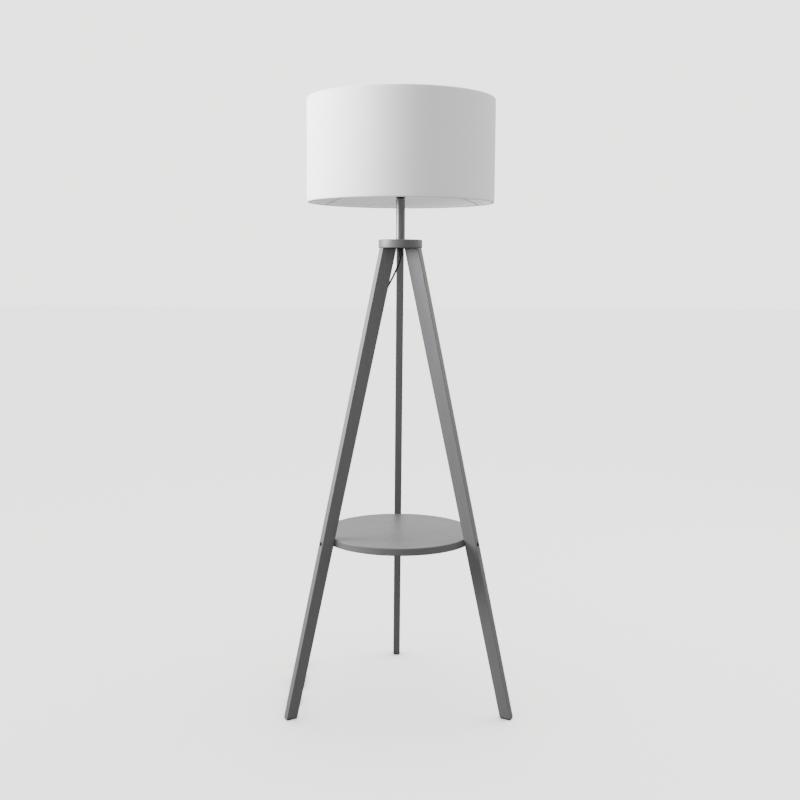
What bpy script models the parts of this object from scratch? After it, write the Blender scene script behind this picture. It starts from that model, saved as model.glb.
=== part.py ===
"""Tripod floor lamp: three tapered legs, a round shelf, a hub, a short stem and a drum shade.

Metres, +Z up, floor at z = 0. The back leg points along +Y. Everything hangs on one empty,
lamp_axis, which stands on the lamp's own vertical axis.
"""

import math

import bmesh
import bpy
from mathutils import Euler, Matrix, Vector

# ---------------------------------------------------------------- driving dimensions
GAP = 0.0003  # between pieces that touch
RUN_GAP = 0.0005  # between pieces that turn on one another

LEG_THICK = 0.018
LEG_TOP_Z = 1.123
LEG_TOP_IN = 0.0155  # the inner edge's distance from the axis, at the top
LEG_TOP_OUT = 0.0537
LEG_FOOT_IN = 0.2853
LEG_FOOT_OUT = 0.3135
LEG_EDGE = 0.0012
PAD_THICK = 0.003
PAD_INSET = 0.0012
LEG_NAMES = {"back": 90.0, "left": 210.0, "right": 330.0}


def leg_in(z):
    """The inner face's distance from the axis at a height."""
    share = (LEG_TOP_Z - z) / (LEG_TOP_Z - PAD_THICK - GAP)
    return LEG_TOP_IN + (LEG_FOOT_IN - LEG_TOP_IN) * share


def leg_out(z):
    share = (LEG_TOP_Z - z) / (LEG_TOP_Z - PAD_THICK - GAP)
    return LEG_TOP_OUT + (LEG_FOOT_OUT - LEG_TOP_OUT) * share


def leg_middle(z):
    return (leg_in(z) + leg_out(z)) / 2



SHELF_TOP_Z = 0.427
SHELF_BED = 0.0018  # how far its top edge stands in the legs' inner faces
SHELF_THICK = 0.018
SHELF_RADIUS = leg_in(SHELF_TOP_Z) + SHELF_BED
SHELF_EDGE = 0.002
SHELF_SCREW_RADIUS = 0.0025
SHELF_SCREW_HEAD_RADIUS = 0.005
SHELF_SCREW_HEAD = 0.0035
SHELF_SCREW_SUNK = 0.0015  # how far the head lies below the leg's face
SHELF_SCREW_INTO_SHELF = 0.034

HUB_RADIUS = 0.053
HUB_THICK = 0.020
HUB_EDGE = 0.0012
HUB_RECESS_RADIUS = 0.0125
HUB_RECESS_DEEP = 0.0085
STEM_SEAT_DEEP = 0.002
HUB_SCREW_CIRCLE = 0.0355
HUB_SCREW_RADIUS = 0.003
HUB_SCREW_HEAD_RADIUS = 0.006
HUB_SCREW_LENGTH = 0.044
INSERT_RADIUS = 0.0047
INSERT_LENGTH = 0.014
HEX_SOCKET_ACROSS = 0.004
HEX_SOCKET_DEEP = 0.002

ROD_RADIUS = 0.005
ROD_BORE = 0.0035
WASHER_RADIUS = 0.0115
WASHER_THICK = 0.0015
NUT_ACROSS = 0.017
NUT_THICK = 0.0055
STEM_RADIUS = 0.011
STEM_WALL = 0.0015
STEM_TOP_Z = 1.239
STEM_WASHER_THICK = 0.0015

GRIP_RADIUS = 0.007
GRIP_LENGTH = 0.021
GRIP_EDGE = 0.0012
GRIP_ROD_DEEP = 0.007
GRIP_SCREW_RADIUS = 0.0032
GRIP_SCREW_DOWN = 0.0145  # from the grip's top face
GRIP_SCREW_TURN = -35.0  # which way round it faces, in degrees

CAP_NECK_RADIUS = 0.0095
CAP_NECK_DEEP = 0.010
CAP_RADIUS = 0.0225
CAP_HEIGHT = 0.033
CAP_CONE_HEIGHT = 0.0135
CAP_WALL = 0.0022
SKIRT_RADIUS = 0.01975
SKIRT_WALL = 0.002
SKIRT_HEIGHT = 0.046
SKIRT_IN_CAP = 0.007
SKIRT_LIP = 0.002
INSERT_DISC_THICK = 0.009
SHELL_RADIUS = 0.0143
SHELL_WALL = 0.0005
CONTACT_RADIUS = 0.004
CONTACT_THICK = 0.002

SHADE_RING_HEIGHT = 0.0075
SHADE_RING_RADIUS = 0.0265

SPIDER_Z = 1.297  # underside of the spider's centre ring
SPIDER_THICK = 0.002
SPIDER_RING_RADIUS = 0.029
SPIDER_ARM_RADIUS = 0.002
SPIDER_ARM_FIRST = 27.0  # degrees
WIRE_RADIUS = 0.00175

SHADE_RADIUS = 0.225
SHADE_HEIGHT = 0.240
SHADE_BOTTOM_Z = 1.232
SHADE_WALL = 0.0012

BULB_CAP_RADIUS = 0.0131
BULB_CAP_HEIGHT = 0.0235
BULB_BASE_Z = 1.2835  # the end of the bulb's centre contact
BULB_TIP_HEIGHT = 0.0022
BULB_INSULATOR_HEIGHT = 0.0028
BULB_INSULATOR_RADIUS = 0.0063  # at its lower end
BULB_RADIUS = 0.030
BULB_GLASS_HEIGHT = 0.078
BULB_NECK_RADIUS = 0.0135
BULB_GLASS_WALL = 0.001
BULB_BALL_ENDS = -30.0  # degrees below level, where the ball runs into the neck
BULB_BALL_POINTS = 10
NECK_EASE = 0.4  # 0 is a straight neck, 1 an S-shaped one

CORD_RADIUS = 0.0023
CORD_STEP = 0.0155
# where the cord's route runs down the leg's middle, and where the clips are, as shares of its height
CORD_SHARES = (0.7124, 0.6233, 0.5432, 0.4541, 0.3740, 0.2939, 0.2226, 0.1514, 0.0980, 0.0668)
CLIP_SHARES = (0.7124, 0.5432, 0.2226)
CLIP_LENGTH = 0.007
CLIP_WALL = 0.0014
SWITCH_LENGTH = 0.060
SWITCH_WIDTH = 0.0235
SWITCH_BASE_HEIGHT = 0.0075
SWITCH_COVER_HEIGHT = 0.0075
SWITCH_EDGE = 0.002
SWITCH_HOLE_DEEP = 0.006
SWITCH_SCREW_FROM_END = 0.014
SWITCH_SCREW_SUNK = 0.0015
SWITCH_FROM_Y = -0.072  # its end nearest the left foot, from the lamp's axis
ROCKER_LENGTH = 0.018
ROCKER_WIDTH = 0.0095
ROCKER_HEIGHT = 0.0055
ROCKER_TILT = 7.0
ROCKER_MIDDLE_TOP = 0.0012  # above the cover, where the rocker dips
ROCKER_END_RISE = 0.0012
ROCKER_MIDDLE_DEEP = 0.0035  # below the cover, over the pin
ROCKER_END_LIFT = 0.0018
SWITCH_SCREW_RADIUS = 0.002
SWITCH_SCREW_LENGTH = 0.0085
FLOOR_LINE_X = -0.2577  # the cord on the floor, its switch, hank and plug lie on this line
HANK_FROM_Y = 0.028
HANK_RUN = 0.083
HANK_FOLD = 0.0276  # centre to centre of its two sides
HANK_LAYERS = 3
TIE_WIDTH = 0.012
TIE_THICK = 0.0012
PLUG_FROM_Y = 0.168
PLUG_TAIL = 0.022
PLUG_LENGTH = 0.030
PLUG_WIDTH = 0.0245
PLUG_HEIGHT = 0.0165
PLUG_EDGE = 0.0012
PLUG_CORD_DEEP = 0.008
PLUG_TAIL_END = 0.00345  # half the tail's thickness where the cord enters
BLADE_LENGTH = 0.017
BLADE_WIDTH = 0.0063
BLADE_THICK = 0.0015
BLADE_SPACING = 0.0127
BLADE_IN_PLUG = 0.008
BLADE_EDGE = 0.0003

# ---------------------------------------------------------------- what follows from them
HUB_BOTTOM_Z = LEG_TOP_Z + GAP
HUB_TOP_Z = HUB_BOTTOM_Z + HUB_THICK
SHELF_MID_Z = SHELF_TOP_Z - SHELF_THICK / 2
STEM_BOTTOM_Z = HUB_TOP_Z - STEM_SEAT_DEEP + GAP
STEM_WASHER_Z = STEM_TOP_Z + GAP
CAP_BOTTOM_Z = STEM_WASHER_Z + STEM_WASHER_THICK + GAP
CAP_TOP_Z = CAP_BOTTOM_Z + CAP_HEIGHT
SKIRT_BOTTOM_Z = CAP_TOP_Z - SKIRT_IN_CAP
SKIRT_TOP_Z = SKIRT_BOTTOM_Z + SKIRT_HEIGHT
SHELL_TOP_Z = SKIRT_TOP_Z - SKIRT_LIP - GAP
CONTACT_TOP_Z = BULB_BASE_Z - GAP
DISC_TOP_Z = CONTACT_TOP_Z - CONTACT_THICK - GAP
ROD_TOP_Z = CAP_BOTTOM_Z + CAP_NECK_DEEP - GAP
ROD_CLEAR = ROD_RADIUS + GAP
WASHER_Z = HUB_BOTTOM_Z + HUB_RECESS_DEEP - GAP - WASHER_THICK
NUT_Z = WASHER_Z - GAP - NUT_THICK
GRIP_TOP_Z = NUT_Z - GAP
GRIP_BOTTOM_Z = GRIP_TOP_Z - GRIP_LENGTH
ROD_BOTTOM_Z = GRIP_TOP_Z - GRIP_ROD_DEEP + GAP
GRIP_BORE = CORD_RADIUS + GAP
BULB_INSULATOR_Z = BULB_BASE_Z + BULB_TIP_HEIGHT + GAP
BULB_CAP_Z = BULB_INSULATOR_Z + BULB_INSULATOR_HEIGHT + GAP
BULB_GLASS_Z = BULB_CAP_Z + BULB_CAP_HEIGHT + GAP
SHADE_TOP_Z = SHADE_BOTTOM_Z + SHADE_HEIGHT
WIRE_CIRCLE = SHADE_RADIUS - SHADE_WALL - GAP - WIRE_RADIUS
SPIDER_BORE = SKIRT_RADIUS + RUN_GAP
FRONT_LEG_TURN = math.radians(30)  # from straight sideways towards the front
FRONT_FOOT_REACH = LEG_FOOT_OUT * math.sin(FRONT_LEG_TURN) + LEG_THICK / 2 * math.cos(FRONT_LEG_TURN)
FRONT_REACH = max(SHADE_RADIUS, SHELF_RADIUS, FRONT_FOOT_REACH)
AXIS_Y = (FRONT_REACH - max(LEG_FOOT_OUT, SHADE_RADIUS)) / 2
CORD_OFF_LEG = LEG_THICK / 2 + CORD_RADIUS + GAP
CORD_FLOOR_Z = CORD_RADIUS + GAP
SWITCH_CORD_Z = SWITCH_BASE_HEIGHT + GAP
SWITCH_TO_Y = SWITCH_FROM_Y + SWITCH_LENGTH
SWITCH_MID_Y = SWITCH_FROM_Y + SWITCH_LENGTH / 2
HANK_WIDTH = HANK_FOLD + 2 * CORD_RADIUS
HANK_HEIGHT = HANK_LAYERS * 2 * CORD_RADIUS
HANK_TO_Y = HANK_FROM_Y + HANK_RUN + HANK_WIDTH
PLUG_CORD_Z = PLUG_HEIGHT / 2 + GAP

# name: colour, metallic, roughness
MATERIALS = {
    "grey_paint": ((0.235, 0.235, 0.235), 0.0, 0.45),
    "grey_steel": ((0.24, 0.24, 0.245), 0.3, 0.38),
    "felt": ((0.03, 0.03, 0.03), 0.0, 0.95),
    "dark_screw": ((0.05, 0.05, 0.05), 0.8, 0.4),
    "zinc": ((0.60, 0.61, 0.62), 1.0, 0.35),
    "brass": ((0.70, 0.52, 0.24), 1.0, 0.3),
    "black_plastic": ((0.02, 0.02, 0.02), 0.0, 0.4),
    "porcelain": ((0.82, 0.80, 0.75), 0.0, 0.25),
    "white_fabric": ((0.86, 0.86, 0.85), 0.0, 0.9),
    "white_wire": ((0.75, 0.75, 0.75), 0.2, 0.4),
    "opal_glass": ((0.9, 0.9, 0.88), 0.0, 0.15),
    "black_cord": ((0.015, 0.015, 0.015), 0.0, 0.5),
}


# ---------------------------------------------------------------- making objects
def clear_scene():
    for old in list(bpy.data.objects):
        bpy.data.objects.remove(old, do_unlink=True)


def make_collection(name):
    made = bpy.data.collections.new(name)
    bpy.context.scene.collection.children.link(made)
    return made


def make_material(name):
    colour, metallic, roughness = MATERIALS[name]
    made = bpy.data.materials.new(name)
    made.use_nodes = True
    shader = made.node_tree.nodes["Principled BSDF"]
    shader.inputs["Base Color"].default_value = (*colour, 1.0)
    shader.inputs["Metallic"].default_value = metallic
    shader.inputs["Roughness"].default_value = roughness
    return made


def place(name, data, material, location=(0, 0, 0), rotation=(0, 0, 0), parent=None):
    """Puts a mesh or a curve in the lamp as one named piece."""
    obj = bpy.data.objects.new(name, data)
    PARTS.objects.link(obj)
    obj.parent = parent or AXIS
    obj.location = location
    obj.rotation_euler = rotation
    data.materials.append(make_material(material))
    return obj


def place_cutter(name, data, location=(0, 0, 0), rotation=(0, 0, 0), parent=None):
    obj = bpy.data.objects.new(name, data)
    CUTTERS.objects.link(obj)
    obj.parent = parent or AXIS
    obj.location = location
    obj.rotation_euler = rotation
    obj.hide_render = True
    obj.display_type = "WIRE"
    return obj


def cut(obj, cutter, operation="DIFFERENCE"):
    made = obj.modifiers.new(cutter.name, "BOOLEAN")
    made.operation = operation
    made.object = cutter


def round_edges(obj, width, segments=2, angle=40.0):
    made = obj.modifiers.new("round_edges", "BEVEL")
    made.width = width
    made.segments = segments
    made.limit_method = "ANGLE"
    made.angle_limit = math.radians(angle)


def finish_mesh(bm, name):
    data = bpy.data.meshes.new(name)
    bm.to_mesh(data)
    bm.free()
    data.shade_smooth()
    data.set_sharp_from_angle(angle=math.radians(30))
    return data


def box_mesh(name, size, centre=(0, 0, 0)):
    bm = bmesh.new()
    move = Matrix.Translation(centre) @ Matrix.Diagonal((*size, 1.0))
    bmesh.ops.create_cube(bm, size=1.0, matrix=move)
    return finish_mesh(bm, name)


def cylinder_mesh(name, radius, low, high, segments=32, top_radius=None):
    """A cylinder or cone on Z from low to high."""
    bm = bmesh.new()
    bmesh.ops.create_cone(
        bm,
        cap_ends=True,
        segments=segments,
        radius1=radius,
        radius2=radius if top_radius is None else top_radius,
        depth=high - low,
        matrix=Matrix.Translation((0, 0, (low + high) / 2)),
    )
    return finish_mesh(bm, name)


def outline_mesh(name, outline):
    """The outline of a turned piece, in the XZ plane: out and down, closed unless it ends on Z."""
    bm = bmesh.new()
    points = [bm.verts.new((r, 0, z)) for r, z in outline]
    for one, two in zip(points, points[1:]):
        bm.edges.new((one, two))
    if outline[0][0] > 0:
        bm.edges.new((points[-1], points[0]))
    data = bpy.data.meshes.new(name)
    bm.to_mesh(data)
    bm.free()
    return data


def turn(obj, steps):
    made = obj.modifiers.new("turned", "SCREW")
    made.steps = steps
    made.render_steps = steps
    made.use_merge_vertices = True
    made.merge_threshold = 0.00001
    made.use_smooth_shade = True


def turned(name, outline, material, steps=32, **placed):
    """A turned piece. Its outline runs top to bottom on the outer side, then back up inside."""
    obj = place(name, outline_mesh(name, outline), material, **placed)
    turn(obj, steps)
    return obj


def turned_cutter(name, outline, steps=24, **placed):
    obj = place_cutter(name, outline_mesh(name, outline), **placed)
    turn(obj, steps)
    return obj


def ring_outline(inner, outer, low, high):
    return [(outer, high), (outer, low), (inner, low), (inner, high)]


def wire_ring(name, circle, thick, z, material, around=72, section=6):
    """A ring of round wire, turned from the wire's own section."""
    steps = [2 * math.pi * k / section for k in range(section)]
    outline = [(circle + thick * math.cos(a), z - thick * math.sin(a)) for a in steps]
    return turned(name, outline, material, around)


def rod_between(name, radius, start, end, material, segments=12):
    """A straight round rod between two points."""
    run = Vector(end) - Vector(start)
    turn_to = run.to_track_quat("Z", "Y").to_euler()
    data = cylinder_mesh(name, radius, 0.0, run.length, segments)
    return place(name, data, material, location=start, rotation=turn_to)


def round_the_axis(degrees):
    """An empty on the lamp's axis, turned so that its X points that way."""
    obj = bpy.data.objects.new(f"towards_{degrees:.0f}", None)
    PARTS.objects.link(obj)
    obj.parent = AXIS
    obj.rotation_euler = (0, 0, math.radians(degrees))
    return obj


# ---------------------------------------------------------------- legs, shelf and hub


def board_mesh(name, low, high, inner, outer, width):
    """A board standing in the XZ plane, whose two edges follow inner(z) and outer(z)."""
    bm = bmesh.new()
    bmesh.ops.create_cube(bm, size=1.0)
    for corner in bm.verts:
        z = high if corner.co.z > 0 else low
        edge = outer if corner.co.x > 0 else inner
        corner.co = (edge(z), corner.co.y * width, z)
    return finish_mesh(bm, name)


def socket_head(screw, parent, location, rotation=(0, 0, 0)):
    """Cuts a hexagon socket into a screw's head, at the end of its own Z."""
    across = HEX_SOCKET_ACROSS / math.sqrt(3)
    hexagon = cylinder_mesh(f"{screw.name}_socket", across, -HEX_SOCKET_DEEP, HEX_SOCKET_DEEP, 6)
    cutter = place_cutter(f"{screw.name}_socket", hexagon, location, rotation, parent)
    cut(screw, cutter)


def make_leg(side, towards):
    bottom = PAD_THICK + GAP
    data = board_mesh(f"leg_{side}", bottom, LEG_TOP_Z, leg_in, leg_out, LEG_THICK)
    leg = place(f"leg_{side}", data, "grey_paint", parent=towards)
    round_edges(leg, LEG_EDGE)
    pad_in = leg_in(bottom) + PAD_INSET
    pad_out = leg_out(bottom) - PAD_INSET
    size = (pad_out - pad_in, LEG_THICK - 2 * PAD_INSET, PAD_THICK)
    data = box_mesh(f"foot_pad_{side}", size, ((pad_in + pad_out) / 2, 0, PAD_THICK / 2))
    place(f"foot_pad_{side}", data, "felt", parent=towards)
    return leg


def make_shelf():
    low = SHELF_TOP_Z - SHELF_THICK
    data = cylinder_mesh("shelf", SHELF_RADIUS, low, SHELF_TOP_Z, 96)
    shelf = place("shelf", data, "grey_paint")
    round_edges(shelf, SHELF_EDGE)
    return shelf


def bed_shelf_on_leg(side, shelf, towards):
    """Planes a flat on the shelf's edge, in line with the leg's inner face."""
    clear = SHELF_THICK
    low = SHELF_TOP_Z - SHELF_THICK - clear
    high = SHELF_TOP_Z + clear

    def flat(z):
        return leg_in(z) - GAP

    def beyond(z):
        return leg_in(z) + SHELF_RADIUS

    data = board_mesh(f"flat_{side}", low, high, flat, beyond, 6 * LEG_THICK)
    cut(shelf, place_cutter(f"flat_{side}", data, parent=towards))


def make_shelf_screw(side, leg, shelf, towards):
    """A socket screw through the leg's outer face into the shelf's edge. Its head faces out."""
    top = leg_out(SHELF_MID_Z) - SHELF_SCREW_SUNK
    seat = top - SHELF_SCREW_HEAD
    tip = leg_in(SHELF_MID_Z) - SHELF_SCREW_INTO_SHELF
    head = SHELF_SCREW_HEAD_RADIUS
    shank = SHELF_SCREW_RADIUS
    outline = [(0, top), (head, top), (head, seat), (shank, seat), (shank, tip), (0, tip)]
    lying = (0, math.pi / 2, 0)
    up = (0, 0, SHELF_MID_Z)
    screw = turned(
        f"shelf_screw_{side}", outline, "dark_screw", 24, location=up, rotation=lying, parent=towards
    )
    socket_head(screw, towards, (top, 0, SHELF_MID_Z), lying)
    beyond = top + 4 * SHELF_SCREW_HEAD
    wide = head + GAP
    slim = shank + GAP
    seat -= GAP
    tip -= GAP
    outline = [(0, beyond), (wide, beyond), (wide, seat), (slim, seat), (slim, tip), (0, tip)]
    hole = turned_cutter(
        f"shelf_screw_hole_{side}", outline, location=up, rotation=lying, parent=towards
    )
    cut(leg, hole)
    cut(shelf, hole)


def make_hub():
    data = cylinder_mesh("hub", HUB_RADIUS, HUB_BOTTOM_Z, HUB_TOP_Z, 64)
    hub = place("hub", data, "grey_paint")
    round_edges(hub, HUB_EDGE, 1)
    seat = STEM_RADIUS + GAP
    beyond = HUB_TOP_Z + HUB_THICK
    below = HUB_BOTTOM_Z - HUB_THICK
    recess_top = HUB_BOTTOM_Z + HUB_RECESS_DEEP
    outline = [
        (0, beyond),
        (seat, beyond),
        (seat, HUB_TOP_Z - STEM_SEAT_DEEP),
        (ROD_CLEAR, HUB_TOP_Z - STEM_SEAT_DEEP),
        (ROD_CLEAR, recess_top),
        (HUB_RECESS_RADIUS, recess_top),
        (HUB_RECESS_RADIUS, below),
        (0, below),
    ]
    cut(hub, turned_cutter("hub_bore", outline, 32))
    return hub


def make_hub_screw(side, leg, hub, towards):
    """A countersunk screw down through the hub, into a threaded insert in the leg's top end."""
    head = HUB_SCREW_HEAD_RADIUS
    shank = HUB_SCREW_RADIUS
    top = HUB_TOP_Z - GAP
    under_head = top - (head - shank)
    tip = top - HUB_SCREW_LENGTH
    at = (HUB_SCREW_CIRCLE, 0, 0)
    outline = [(0, top), (head, top), (shank, under_head), (shank, tip), (0, tip)]
    screw = turned(f"hub_screw_{side}", outline, "zinc", 24, location=at, parent=towards)
    socket_head(screw, towards, (HUB_SCREW_CIRCLE, 0, top))
    insert_top = LEG_TOP_Z - GAP
    insert_low = insert_top - INSERT_LENGTH
    outline = ring_outline(shank + GAP, INSERT_RADIUS, insert_low, insert_top)
    turned(f"leg_insert_{side}", outline, "brass", 20, location=at, parent=towards)
    beyond = HUB_TOP_Z + HUB_THICK
    slim = shank + GAP
    wide = head + GAP
    between = (LEG_TOP_Z + HUB_BOTTOM_Z) / 2
    outline = [
        (0, beyond),
        (wide, beyond),
        (wide, HUB_TOP_Z - GAP),
        (slim, under_head - GAP),
        (slim, between),
        (INSERT_RADIUS + GAP, between),
        (INSERT_RADIUS + GAP, insert_low - GAP),
        (slim, insert_low - GAP),
        (slim, tip - GAP),
        (0, tip - GAP),
    ]
    hole = turned_cutter(f"hub_screw_hole_{side}", outline, location=at, parent=towards)
    cut(hub, hole)
    cut(leg, hole)


def make_tripod():
    shelf = make_shelf()
    hub = make_hub()
    for side, degrees in LEG_NAMES.items():
        towards = round_the_axis(degrees)
        leg = make_leg(side, towards)
        bed_shelf_on_leg(side, shelf, towards)
        make_shelf_screw(side, leg, shelf, towards)
        make_hub_screw(side, leg, hub, towards)


# ---------------------------------------------------------------- stem and its fittings
def make_stem():
    outline = ring_outline(STEM_RADIUS - STEM_WALL, STEM_RADIUS, STEM_BOTTOM_Z, STEM_TOP_Z)
    turned("stem", outline, "grey_steel", 48)
    low = STEM_WASHER_Z
    turned(
        "stem_washer",
        ring_outline(ROD_CLEAR, STEM_RADIUS - RUN_GAP, low, low + STEM_WASHER_THICK),
        "grey_steel",
    )
    turned(
        "threaded_rod", ring_outline(ROD_BORE, ROD_RADIUS, ROD_BOTTOM_Z, ROD_TOP_Z), "zinc", 24
    )
    turned(
        "hub_washer",
        ring_outline(ROD_CLEAR, WASHER_RADIUS, WASHER_Z, WASHER_Z + WASHER_THICK),
        "zinc",
        24,
    )
    data = cylinder_mesh("hub_nut", NUT_ACROSS / math.sqrt(3), NUT_Z, NUT_Z + NUT_THICK, 6)
    nut = place("hub_nut", data, "zinc")
    clear = NUT_THICK
    bore = cylinder_mesh("nut_bore", ROD_CLEAR, NUT_Z - clear, NUT_Z + NUT_THICK + clear, 24)
    cut(nut, place_cutter("nut_bore", bore))
    lead_low = ROD_BOTTOM_Z + GAP
    lead = cylinder_mesh("inner_lead", CORD_RADIUS, lead_low, ROD_TOP_Z + 2 * GAP, 12)
    place("inner_lead", lead, "black_cord")


def make_grip():
    """The cord's grip: a plastic barrel on the rod's lower end, with a screw in its side."""
    rod_end = GRIP_TOP_Z - GRIP_ROD_DEEP
    outline = [
        (GRIP_RADIUS, GRIP_TOP_Z),
        (GRIP_RADIUS, GRIP_BOTTOM_Z + GRIP_EDGE),
        (GRIP_RADIUS - GRIP_EDGE, GRIP_BOTTOM_Z),
        (GRIP_BORE, GRIP_BOTTOM_Z),
        (GRIP_BORE, rod_end),
        (ROD_CLEAR, rod_end),
        (ROD_CLEAR, GRIP_TOP_Z),
    ]
    grip = turned("cord_grip", outline, "black_plastic", 32)
    z = GRIP_TOP_Z - GRIP_SCREW_DOWN
    turn_to = math.radians(GRIP_SCREW_TURN)
    start = GRIP_BORE + 2 * GAP
    end = GRIP_RADIUS + GRIP_SCREW_RADIUS / 2
    along = Euler((0, math.pi / 2, turn_to))
    at = (start * math.cos(turn_to), start * math.sin(turn_to), z)
    data = cylinder_mesh("cord_grip_screw", GRIP_SCREW_RADIUS - GAP, 0.0, end - start, 20)
    place("cord_grip_screw", data, "black_plastic", at, along)
    data = cylinder_mesh("grip_screw_hole", GRIP_SCREW_RADIUS, -start / 2, end, 20)
    cut(grip, place_cutter("grip_screw_hole", data, at, along))


# ---------------------------------------------------------------- lampholder and bulb
def make_holder():
    low = CAP_BOTTOM_Z
    inner = SKIRT_RADIUS + GAP
    floor = low + CAP_NECK_DEEP
    shoulder = low + CAP_CONE_HEIGHT
    outline = [
        (CAP_RADIUS, CAP_TOP_Z),
        (CAP_RADIUS, shoulder),
        (CAP_NECK_RADIUS, low),
        (ROD_CLEAR, low),
        (ROD_CLEAR, floor),
        (CAP_NECK_RADIUS, floor),
        (inner, shoulder + CAP_WALL),
        (inner, CAP_TOP_Z),
    ]
    turned("holder_cap", outline, "black_plastic", 40)
    skirt_inner = SKIRT_RADIUS - SKIRT_WALL
    lip = SHELL_RADIUS - SHELL_WALL
    outline = [
        (SKIRT_RADIUS, SKIRT_TOP_Z),
        (SKIRT_RADIUS, SKIRT_BOTTOM_Z),
        (skirt_inner, SKIRT_BOTTOM_Z),
        (skirt_inner, SKIRT_TOP_Z - SKIRT_LIP),
        (lip, SKIRT_TOP_Z - SKIRT_LIP),
        (lip, SKIRT_TOP_Z),
    ]
    turned("holder_skirt", outline, "black_plastic", 40)
    disc_low = DISC_TOP_Z - INSERT_DISC_THICK
    outline = ring_outline(ROD_BORE, skirt_inner - GAP, disc_low, DISC_TOP_Z)
    turned("holder_insert", outline, "porcelain", 32)
    outline = ring_outline(
        SHELL_RADIUS - SHELL_WALL, SHELL_RADIUS, DISC_TOP_Z + GAP, SHELL_TOP_Z
    )
    turned("holder_screw_shell", outline, "brass", 32)
    contact_low = DISC_TOP_Z + GAP
    data = cylinder_mesh("holder_contact", CONTACT_RADIUS, contact_low, CONTACT_TOP_Z, 16)
    place("holder_contact", data, "brass")


def make_shade_rings():
    """The two threaded rings on the lampholder that clamp the shade's spider between them."""
    upper = SPIDER_Z + SPIDER_THICK + GAP
    lower = SPIDER_Z - GAP - SHADE_RING_HEIGHT
    for name, low in (("shade_ring_upper", upper), ("shade_ring_lower", lower)):
        high = SHADE_RING_HEIGHT
        outline = ring_outline(SKIRT_RADIUS + RUN_GAP, SHADE_RING_RADIUS, 0.0, high)
        turned(name, outline, "black_plastic", 36, location=(0, 0, low))


def bulb_outline():
    """The glass, from its crown down to the neck, then back up inside its wall."""
    top = BULB_GLASS_Z + BULB_GLASS_HEIGHT
    centre = top - BULB_RADIUS
    outer = []
    for k in range(BULB_BALL_POINTS):
        a = math.radians(90 - (90 - BULB_BALL_ENDS) * k / (BULB_BALL_POINTS - 1))
        outer.append((BULB_RADIUS * math.cos(a), centre + BULB_RADIUS * math.sin(a)))
    waist_r, waist_z = outer[-1]
    for share in (0.25, 0.5, 0.75, 1.0):
        ease = share * share * (3 - 2 * share)
        r = waist_r + (BULB_NECK_RADIUS - waist_r) * ((1 + NECK_EASE) * share - NECK_EASE * ease)
        outer.append((r, waist_z + (BULB_GLASS_Z - waist_z) * share))
    outer[0] = (0.0, top)
    wall = BULB_GLASS_WALL
    inner = [(max(r - wall, 0.0), min(z, top - wall)) for r, z in outer[1:-1]]
    bottom = (BULB_NECK_RADIUS - wall, BULB_GLASS_Z)
    return [*outer, bottom, *reversed(inner), (0.0, top - wall)]


def make_bulb():
    low = BULB_BASE_Z
    at = (0, 0, low)
    tip = cylinder_mesh("bulb_tip", CONTACT_RADIUS, 0.0, BULB_TIP_HEIGHT, 16)
    place("bulb_tip", tip, "zinc", at)
    data = cylinder_mesh(
        "bulb_insulator",
        BULB_INSULATOR_RADIUS,
        BULB_INSULATOR_Z - low,
        BULB_INSULATOR_Z - low + BULB_INSULATOR_HEIGHT,
        24,
        BULB_CAP_RADIUS - 2 * GAP,
    )
    place("bulb_insulator", data, "black_plastic", at)
    cap = cylinder_mesh(
        "bulb_cap",
        BULB_CAP_RADIUS,
        BULB_CAP_Z - low,
        BULB_CAP_Z - low + BULB_CAP_HEIGHT,
        32,
    )
    place("bulb_cap", cap, "zinc", at)
    outline = [(r, z - low) for r, z in bulb_outline()]
    turned("bulb_glass", outline, "opal_glass", 28, location=at)


# ---------------------------------------------------------------- shade
def make_shade():
    outline = ring_outline(SHADE_RADIUS - SHADE_WALL, SHADE_RADIUS, SHADE_BOTTOM_Z, SHADE_TOP_Z)
    turned("shade_drum", outline, "white_fabric", 96)
    inset = WIRE_RADIUS + GAP
    wire_ring("shade_top_wire", WIRE_CIRCLE, WIRE_RADIUS, SHADE_TOP_Z - inset, "white_wire")
    wire_z = SHADE_BOTTOM_Z + inset
    wire_ring("shade_bottom_wire", WIRE_CIRCLE, WIRE_RADIUS, wire_z, "white_wire")
    outline = ring_outline(SPIDER_BORE, SPIDER_RING_RADIUS, SPIDER_Z, SPIDER_Z + SPIDER_THICK)
    turned("spider_ring", outline, "white_wire", 36)
    middle = SPIDER_Z + SPIDER_THICK / 2
    for k in range(3):
        a = math.radians(SPIDER_ARM_FIRST + 120 * k)
        near = SPIDER_RING_RADIUS + SPIDER_ARM_RADIUS * 0.5 + GAP
        far = WIRE_CIRCLE - WIRE_RADIUS - SPIDER_ARM_RADIUS * 0.5 - GAP
        start = (near * math.cos(a), near * math.sin(a), middle)
        end = (far * math.cos(a), far * math.sin(a), wire_z)
        name = f"spider_arm_{k + 1}"
        rod_between(name, SPIDER_ARM_RADIUS, start, end, "white_wire")


# ---------------------------------------------------------------- cord and what is on it
def beside_leg(z, along, off=CORD_OFF_LEG):
    """A point beside the left leg's hidden face: so far along its width, and off its middle."""
    a = math.radians(LEG_NAMES["left"])
    outward = Vector((math.cos(a), math.sin(a), 0))
    behind = Vector((math.sin(a), -math.cos(a), 0))
    return outward * along + behind * off + Vector((0, 0, z))


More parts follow.
